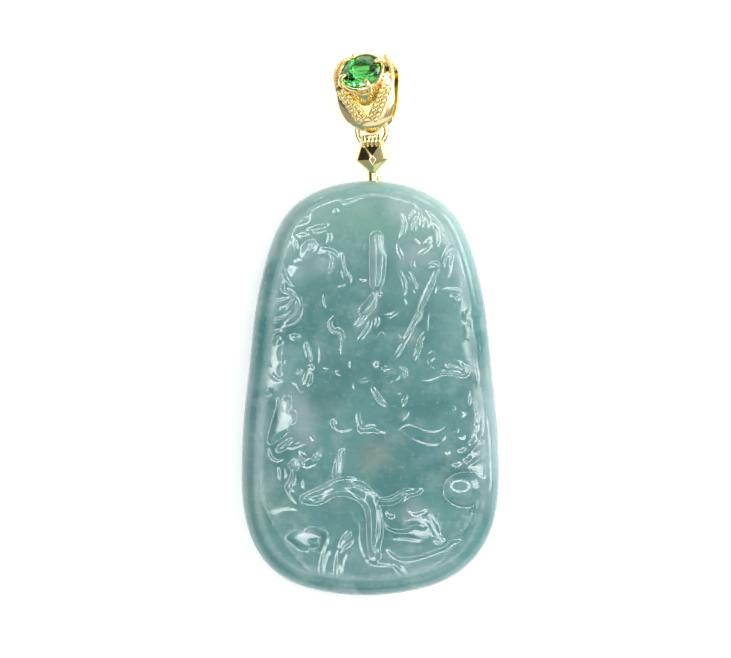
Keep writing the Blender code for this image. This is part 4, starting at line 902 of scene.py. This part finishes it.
bpy.ops.mesh.primitive_torus_add(major_radius=0.62 * MM, minor_radius=0.24 * MM, major_segments=40,
                                 minor_segments=16, location=(0, CAP_EYE, 0))
cap_eye = bpy.context.object
cap_eye.data.shade_smooth()
bpy.ops.mesh.primitive_cylinder_add(vertices=40, radius=0.65 * MM, depth=3.2 * MM,
                                    location=(0, -0.75 * MM, 0), rotation=(math.pi / 2, 0, 0))
peg = bpy.context.object
soften(peg, 0.05 * MM)
crown = []
for px in (-0.78, -0.39, 0.0, 0.39, 0.78):
    petal = [(px * MM, CAP_TOP + 0.35 * MM, 0.95 * MM), (px * MM, CAP_TOP - 0.15 * MM, 1.1 * MM),
             (px * 1.15 * MM, CAP_TOP - 0.62 * MM, 1.06 * MM)]
    crown.append(tube("crown_petal", petal, [0.2 * MM, 0.22 * MM, 0.13 * MM], 12))
band = [(px * MM, CAP_TOP + up * MM, level * MM)
        for px, up, level in ((-0.85, 0.2, 0.55), (-0.5, 0.28, 0.95), (0.5, 0.28, 0.95), (0.85, 0.2, 0.55))]
crown.append(tube("crown_band", band, [0.2 * MM, 0.24 * MM, 0.2 * MM], 12))
cap = join([cap_body, cap_eye, peg, *crown], "kite_cap")
place_in_mesh(cap, to_cap)
cap.data.materials.clear()
cap.data.materials.append(gold)
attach(cap, "root")
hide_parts("peg_cap")

# Link ring
# A ring of round gold wire, bent shut and soldered, that joins the cap's eye to the bail.

LINK_RADIUS = 1.5 * MM
bpy.ops.mesh.primitive_torus_add(major_radius=LINK_RADIUS, minor_radius=0.28 * MM, major_segments=96,
                                 minor_segments=24)
link = bpy.context.object
link.name = "wire_ring"
link_middle = to_cap @ Vector((0, CAP_EYE, 0)) + Vector((0, LINK_RADIUS, 0))
place_in_mesh(link, Matrix.Translation(link_middle) @ Matrix.Rotation(math.radians(-7), 4, "Y"))
link.data.shade_smooth()
link.data.materials.append(gold)
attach(link, "root")
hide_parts("link_ring")

# Bail
# A cast gold bail, polished: a wide strap bent round into a loop for the chain, narrowing to a
# tongue that passes through the ring. Its front carries a collet with four claws, two bars of
# beads that meet in a V, and a row of fine beads along each upper edge.

EYE_OUTER = 1.8 * MM
CREST_RADIUS = 2.3 * MM
CREST_AT = 3.8 * MM
STRAP_WALL = 0.5 * MM
SLOPE = math.asin((CREST_RADIUS - EYE_OUTER) / CREST_AT)
to_bail = (Matrix.Translation(link_middle + Vector((0, LINK_RADIUS, 0)))
           @ Matrix.Rotation(math.radians(5), 4, "Z") @ Matrix.Rotation(math.radians(-14), 4, "Y"))
to_front = Matrix.Rotation(SLOPE, 4, "X") @ Matrix.Translation((0, 0, EYE_OUTER))

# Half widths of the strap by height, in millimetres
STRAP_WIDTHS = ((-1.82, 0.60), (-1.74, 0.75), (-1.5, 1.15), (-1.1, 1.65), (-0.6, 2.12), (0.1, 2.55),
                (1.1, 2.88), (2.5, 3.02), (3.8, 3.18), (4.6, 3.15), (5.2, 2.95), (5.75, 2.6), (6.1, 2.2))
width_path = smooth_path(STRAP_WIDTHS) * MM


def strap_place(share):
    """Outer face of the strap from its foot up the front (0 to 1) and down the back (1 to 2)."""
    eye_part = EYE_OUTER * (math.pi / 2 - SLOPE)
    straight = CREST_AT * math.cos(SLOPE)
    crest_part = CREST_RADIUS * (math.pi / 2 + SLOPE)
    gone = (share if share <= 1 else 2 - share) * (eye_part + straight + crest_part)
    if gone < eye_part:
        normal = -math.pi / 2 + gone / EYE_OUTER
        place = Vector((EYE_OUTER * math.sin(normal), EYE_OUTER * math.cos(normal)))
    elif gone < eye_part + straight:
        normal = -SLOPE
        place = Vector((EYE_OUTER * math.sin(normal) + (gone - eye_part) * math.cos(SLOPE),
                        EYE_OUTER * math.cos(normal) + (gone - eye_part) * math.sin(SLOPE)))
    else:
        normal = -SLOPE + (gone - eye_part - straight) / CREST_RADIUS
        place = Vector((CREST_AT + CREST_RADIUS * math.sin(normal), CREST_RADIUS * math.cos(normal)))
    half = float(np.interp(place.x, width_path[:, 0], width_path[:, 1]))
    if share > 1:
        place.y = -place.y
        half *= 0.9
    return place, half


ROUND_STEPS = 120
ACROSS_STEPS = 10
shape = bmesh.new()
rows = []
for step in range(ROUND_STEPS):
    (py, pz), half = strap_place(2 * step / ROUND_STEPS)
    out = Vector((0, py - np.clip(py, 0, CREST_AT), pz)).normalized()
    rows.append([shape.verts.new(Vector((half * t, py, pz)) - out * 0.22 * MM * abs(t) ** 3)
                 for t in np.linspace(-1, 1, ACROSS_STEPS + 1)])
for here, after in zip(rows, rows[1:] + rows[:1]):
    for column in range(ACROSS_STEPS):
        shape.faces.new((here[column], here[column + 1], after[column + 1], after[column]))
strap = mesh_object("strap", shape)
wall = strap.modifiers.new("wall", "SOLIDIFY")
wall.thickness = STRAP_WALL
wall.offset = -1
bpy.context.view_layer.objects.active = strap
bpy.ops.object.modifier_apply(modifier="wall")
soften(strap, 0.13 * MM, 4, 50)
bail_parts = [strap]

# Two bars with beads in the lower half of the front
BEAD_RADIUS = 0.29 * MM
BEAD_STEP = 0.53 * MM
for side in (-1, 1):
    top, foot = Vector((2.45 * side, 3.2)) * MM, Vector((0.46 * side, -0.25)) * MM
    run = top - foot
    bpy.ops.mesh.primitive_cube_add(size=1)
    bar = bpy.context.object
    bar.scale = (1.15 * MM, run.length, 0.5 * MM)
    lay = (to_front @ Matrix.Translation(((top.x + foot.x) / 2, (top.y + foot.y) / 2, 0.05 * MM))
           @ Matrix.Rotation(math.atan2(-run.x, run.y), 4, "Z"))
    place_in_mesh(bar, lay)
    soften(bar, 0.14 * MM, 3)
    bail_parts.append(bar)
    for row, aside in enumerate((-BEAD_RADIUS, BEAD_RADIUS)):
        for place in range(7):
            along = (place - 3 + 0.25 - 0.5 * row) * BEAD_STEP
            bpy.ops.mesh.primitive_uv_sphere_add(segments=18, ring_count=10, radius=BEAD_RADIUS)
            bead = bpy.context.object
            place_in_mesh(bead, lay @ Matrix.Translation((aside, along, 0.34 * MM)))
            bead.data.shade_smooth()
            bail_parts.append(bead)

# Fine beads along the upper edges
for side in (-1, 1):
    for share in np.linspace(0.60, 0.985, 12):
        (py, pz), half = strap_place(share)
        out = Vector((0, py - np.clip(py, 0, CREST_AT), pz)).normalized()
        bpy.ops.mesh.primitive_uv_sphere_add(segments=16, ring_count=8, radius=0.20 * MM)
        bead = bpy.context.object
        place_in_mesh(bead, Matrix.Translation(Vector((side * (half - 0.24 * MM), py, pz)) - out * 0.05 * MM))
        bead.data.shade_smooth()
        bail_parts.append(bead)

STONE_TILT = 35.0
STONE_AT = 4.47 * MM
collet_level = math.sqrt(CREST_RADIUS ** 2 - (STONE_AT - CREST_AT) ** 2) + 0.67 * MM
to_stone = (Matrix.Translation((0, STONE_AT, collet_level))
            @ Matrix.Rotation(math.radians(-STONE_TILT), 4, "X"))

# Collet: a turned cup with a rounded rim and a ledge for the stone
COLLET = ((0.3, -1.25), (1.55, -0.75), (2.03, -0.14), (2.08, 0.04), (2.16, 0.10), (2.28, 0.08), (2.36, -0.02),
          (2.38, -0.2), (2.30, -0.42), (2.20, -0.62), (2.18, -0.8), (2.10, -1.1), (1.6, -1.2), (0.3, -1.3))
shape = bmesh.new()
profile = [shape.verts.new((r * MM, 0, level * MM)) for r, level in COLLET]
edges = [shape.edges.new(pair) for pair in zip(profile, profile[1:] + profile[:1])]
bmesh.ops.spin(shape, geom=profile + edges, axis=(0, 0, 1), cent=(0, 0, 0), angle=2 * math.pi, steps=64,
               use_merge=True)
bmesh.ops.remove_doubles(shape, verts=shape.verts, dist=0.0001 * MM)
collet = mesh_object("collet", shape)
place_in_mesh(collet, to_stone)
bpy.ops.object.shade_smooth_by_angle(angle=math.radians(50))
bail_parts.append(collet)

# Pedestal: a smooth flared foot from the strap up to the tilted collet
shape = bmesh.new()
rings = []
for rise in np.linspace(0, 1, 12):
    ring = []
    for place in range(48):
        turned_by = 2 * math.pi * place / 48
        c, s = math.cos(turned_by), math.sin(turned_by)
        upper = to_stone @ Vector((2.12 * MM * c, 2.12 * MM * s, -1.0 * MM))
        y = 2.55 * MM + 1.70 * MM * s
        lower = Vector((1.25 * MM * c, y, EYE_OUTER / math.cos(SLOPE) + y * math.tan(SLOPE) - 0.2 * MM))
        ring.append(shape.verts.new(lower.lerp(upper, rise ** 1.3)))
    rings.append(ring)
for here, after in zip(rings, rings[1:]):
    for place in range(48):
        beside = (place + 1) % 48
        shape.faces.new((here[place], here[beside], after[beside], after[place]))
shape.faces.new(rings[0])
shape.faces.new(rings[-1])
pedestal = mesh_object("pedestal", shape)
pedestal.data.shade_smooth()
bail_parts.append(pedestal)

for claw in range(4):
    turn = Matrix.Rotation(math.radians(-65 + 90 * claw), 4, "Z")
    rod = tube("claw", [(2.22 * MM, 0, -1.0 * MM), (2.34 * MM, 0, -0.5 * MM), (2.26 * MM, 0, 0.1 * MM),
                        (1.98 * MM, 0, 0.42 * MM), (1.72 * MM, 0, 0.48 * MM)],
               [0.26 * MM, 0.26 * MM, 0.27 * MM, 0.25 * MM, 0.2 * MM])
    place_in_mesh(rod, to_stone @ turn)
    bail_parts.append(rod)

bail = join(bail_parts, "beaded_bail")
place_in_mesh(bail, to_bail)
bail.data.materials.clear()
bail.data.materials.append(gold)
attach(bail, "root")
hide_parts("bail")

# Green stone
# A round faceted stone of clear green, cut as a brilliant and held by the four claws.

STONE_RADIUS = 1.95 * MM

# Corners of the cut: how many, share of the radius, level in millimetres, turn in steps
CORNERS = ((16, 1.0, -0.06, 0.0), (16, 1.0, 0.06, 0.0), (8, 0.56, 0.62, 0.5), (8, 0.82, 0.38, 0.0),
           (8, 0.5, -0.62, 0.0))
shape = bmesh.new()
shape.verts.new((0, 0, -1.1 * MM))
for count, out, level, offset in CORNERS:
    for place in range(count):
        turned_by = 2 * math.pi * (place + offset) / count
        px, py = out * STONE_RADIUS * math.cos(turned_by), out * STONE_RADIUS * math.sin(turned_by)
        shape.verts.new((px, py, level * MM))
bmesh.ops.convex_hull(shape, input=shape.verts)
bmesh.ops.dissolve_limit(shape, angle_limit=math.radians(0.5), verts=shape.verts, edges=shape.edges)
gem = mesh_object("cut_stone", shape)
place_in_mesh(gem, to_bail @ to_stone)
green = bpy.data.materials.new("green glass")
green.use_nodes = True
green_shader = green.node_tree.nodes["Principled BSDF"]
green_shader.inputs["Base Color"].default_value = (0.13, 0.80, 0.24, 1)
green_shader.inputs["Roughness"].default_value = 0.0
green_shader.inputs["IOR"].default_value = 1.72
green_shader.inputs["Transmission Weight"].default_value = 1.0
gem.data.materials.append(green)
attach(gem, "root")
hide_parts("green_stone")

# Studio
# A pale floor, a ring lamp round the camera, which looks straight down, windows low on the right
# and above, one high box that the flat cuts mirror, two large soft cards, and two black flags.

bpy.ops.mesh.primitive_plane_add(size=3.0, location=(0, 0, -0.0002))
floor = bpy.context.object
floor.name = "floor"
paint = bpy.data.materials.new("floor paint")
paint.use_nodes = True
floor_shader = paint.node_tree.nodes["Principled BSDF"]
floor_shader.inputs["Base Color"].default_value = (0.9, 0.9, 0.9, 1)
floor_shader.inputs["Roughness"].default_value = 0.8
floor_shader.inputs["Emission Color"].default_value = (1, 1, 1, 1)
floor_shader.inputs["Emission Strength"].default_value = 0.42
floor.data.materials.append(paint)

CAMERA_DISTANCE = 0.5
bpy.ops.mesh.primitive_torus_add(major_radius=0.12, minor_radius=0.015, major_segments=64,
                                 minor_segments=12, location=(0, 0.006, CAMERA_DISTANCE))
lamp = bpy.context.object
lamp.name = "ring_lamp"
glow = bpy.data.materials.new("lamp glow")
glow.use_nodes = True
lamp_nodes = glow.node_tree.nodes
lamp_nodes.clear()
emitter = lamp_nodes.new("ShaderNodeEmission")
emitter.inputs["Strength"].default_value = 9.5
output = lamp_nodes.new("ShaderNodeOutputMaterial")
glow.node_tree.links.new(emitter.outputs[0], output.inputs["Surface"])
lamp.data.materials.append(glow)
lamp.visible_camera = False


def seen_from(azimuth, elevation):
    """The direction from the pendant to a place in the studio."""
    around, up = math.radians(azimuth), math.radians(elevation)
    return Vector((math.cos(up) * math.cos(around), math.cos(up) * math.sin(around), math.sin(up)))


def soft_box(name, azimuth, elevation, distance, width, height, radiance):
    """A rectangular soft box that faces the pendant, its width upright and its height level."""
    light = bpy.data.lights.new(name, "AREA")
    light.shape = "RECTANGLE"
    light.size = width
    light.size_y = height
    light.energy = radiance * math.pi * width * height
    holder = bpy.data.objects.new(name, light)
    bpy.context.collection.objects.link(holder)
    away = seen_from(azimuth, elevation)
    holder.location = Vector((0, 0.003, 0)) + away * distance
    upward = seen_from(azimuth, elevation + 90)
    holder.rotation_euler = Matrix((upward, away.cross(upward), away)).transposed().to_euler()


# Windows in pairs, one above the other; each pair shows as a double streak on the rounded rim
for name, azimuth, elevation, width, height in (
        ("right window", 29, 19, 0.10, 0.21), ("right fanlight", 29, 33, 0.06, 0.21),
        ("lower right window", -4, 26, 0.13, 0.05),
        ("top right window", 66, 20, 0.06, 0.07), ("top right fanlight", 66, 32, 0.05, 0.09),
        ("top left window", 115, 20, 0.06, 0.06), ("top left fanlight", 115, 32, 0.05, 0.08)):
    soft_box(name, azimuth, elevation, 0.40, width, height, 5.5)
soft_box("high box", 10, 67, 0.40, 0.06, 0.14, 7.0)
soft_box("left card", 180, 66, 0.50, 0.24, 0.50, 0.9)
soft_box("front card", -90, 40, 0.50, 0.34, 0.40, 0.7)

# Black flags on the left and above, which the facets of the gold mirror
cloth = bpy.data.materials.new("black cloth")
cloth.use_nodes = True
cloth.node_tree.nodes["Principled BSDF"].inputs["Base Color"].default_value = (0.01, 0.01, 0.01, 1)
cloth.node_tree.nodes["Principled BSDF"].inputs["Roughness"].default_value = 1.0
FLAG_ELEVATION = 42
for azimuth in (170, 100):
    bpy.ops.mesh.primitive_plane_add(size=1)
    flag = bpy.context.object
    flag.name = f"flag_{azimuth}"
    flag.scale = (0.26, 0.17, 1)
    flag.rotation_euler = (math.radians(FLAG_ELEVATION - 90), 0, math.radians(azimuth - 90))
    flag.location = seen_from(azimuth, FLAG_ELEVATION) * 0.35
    flag.data.materials.append(cloth)

world = bpy.data.worlds.new("studio")
world.use_nodes = True
world.node_tree.nodes["Background"].inputs["Color"].default_value = (1, 1, 1, 1)
world.node_tree.nodes["Background"].inputs["Strength"].default_value = 0.38
bpy.context.scene.world = world
bpy.context.scene.view_settings.view_transform = "Standard"

FRAME_WIDTH = 74.0 * MM
eye = bpy.data.cameras.new("camera")
eye.sensor_width = 36.0
eye.lens = 36.0 * CAMERA_DISTANCE / FRAME_WIDTH
eye.clip_start = 0.01
eye.clip_end = 10.0
camera = bpy.data.objects.new("camera", eye)
bpy.context.collection.objects.link(camera)
camera.location = (-0.5 * MM, 5.97 * MM, WIDEST_LEVEL + CAMERA_DISTANCE)
bpy.context.scene.camera = camera
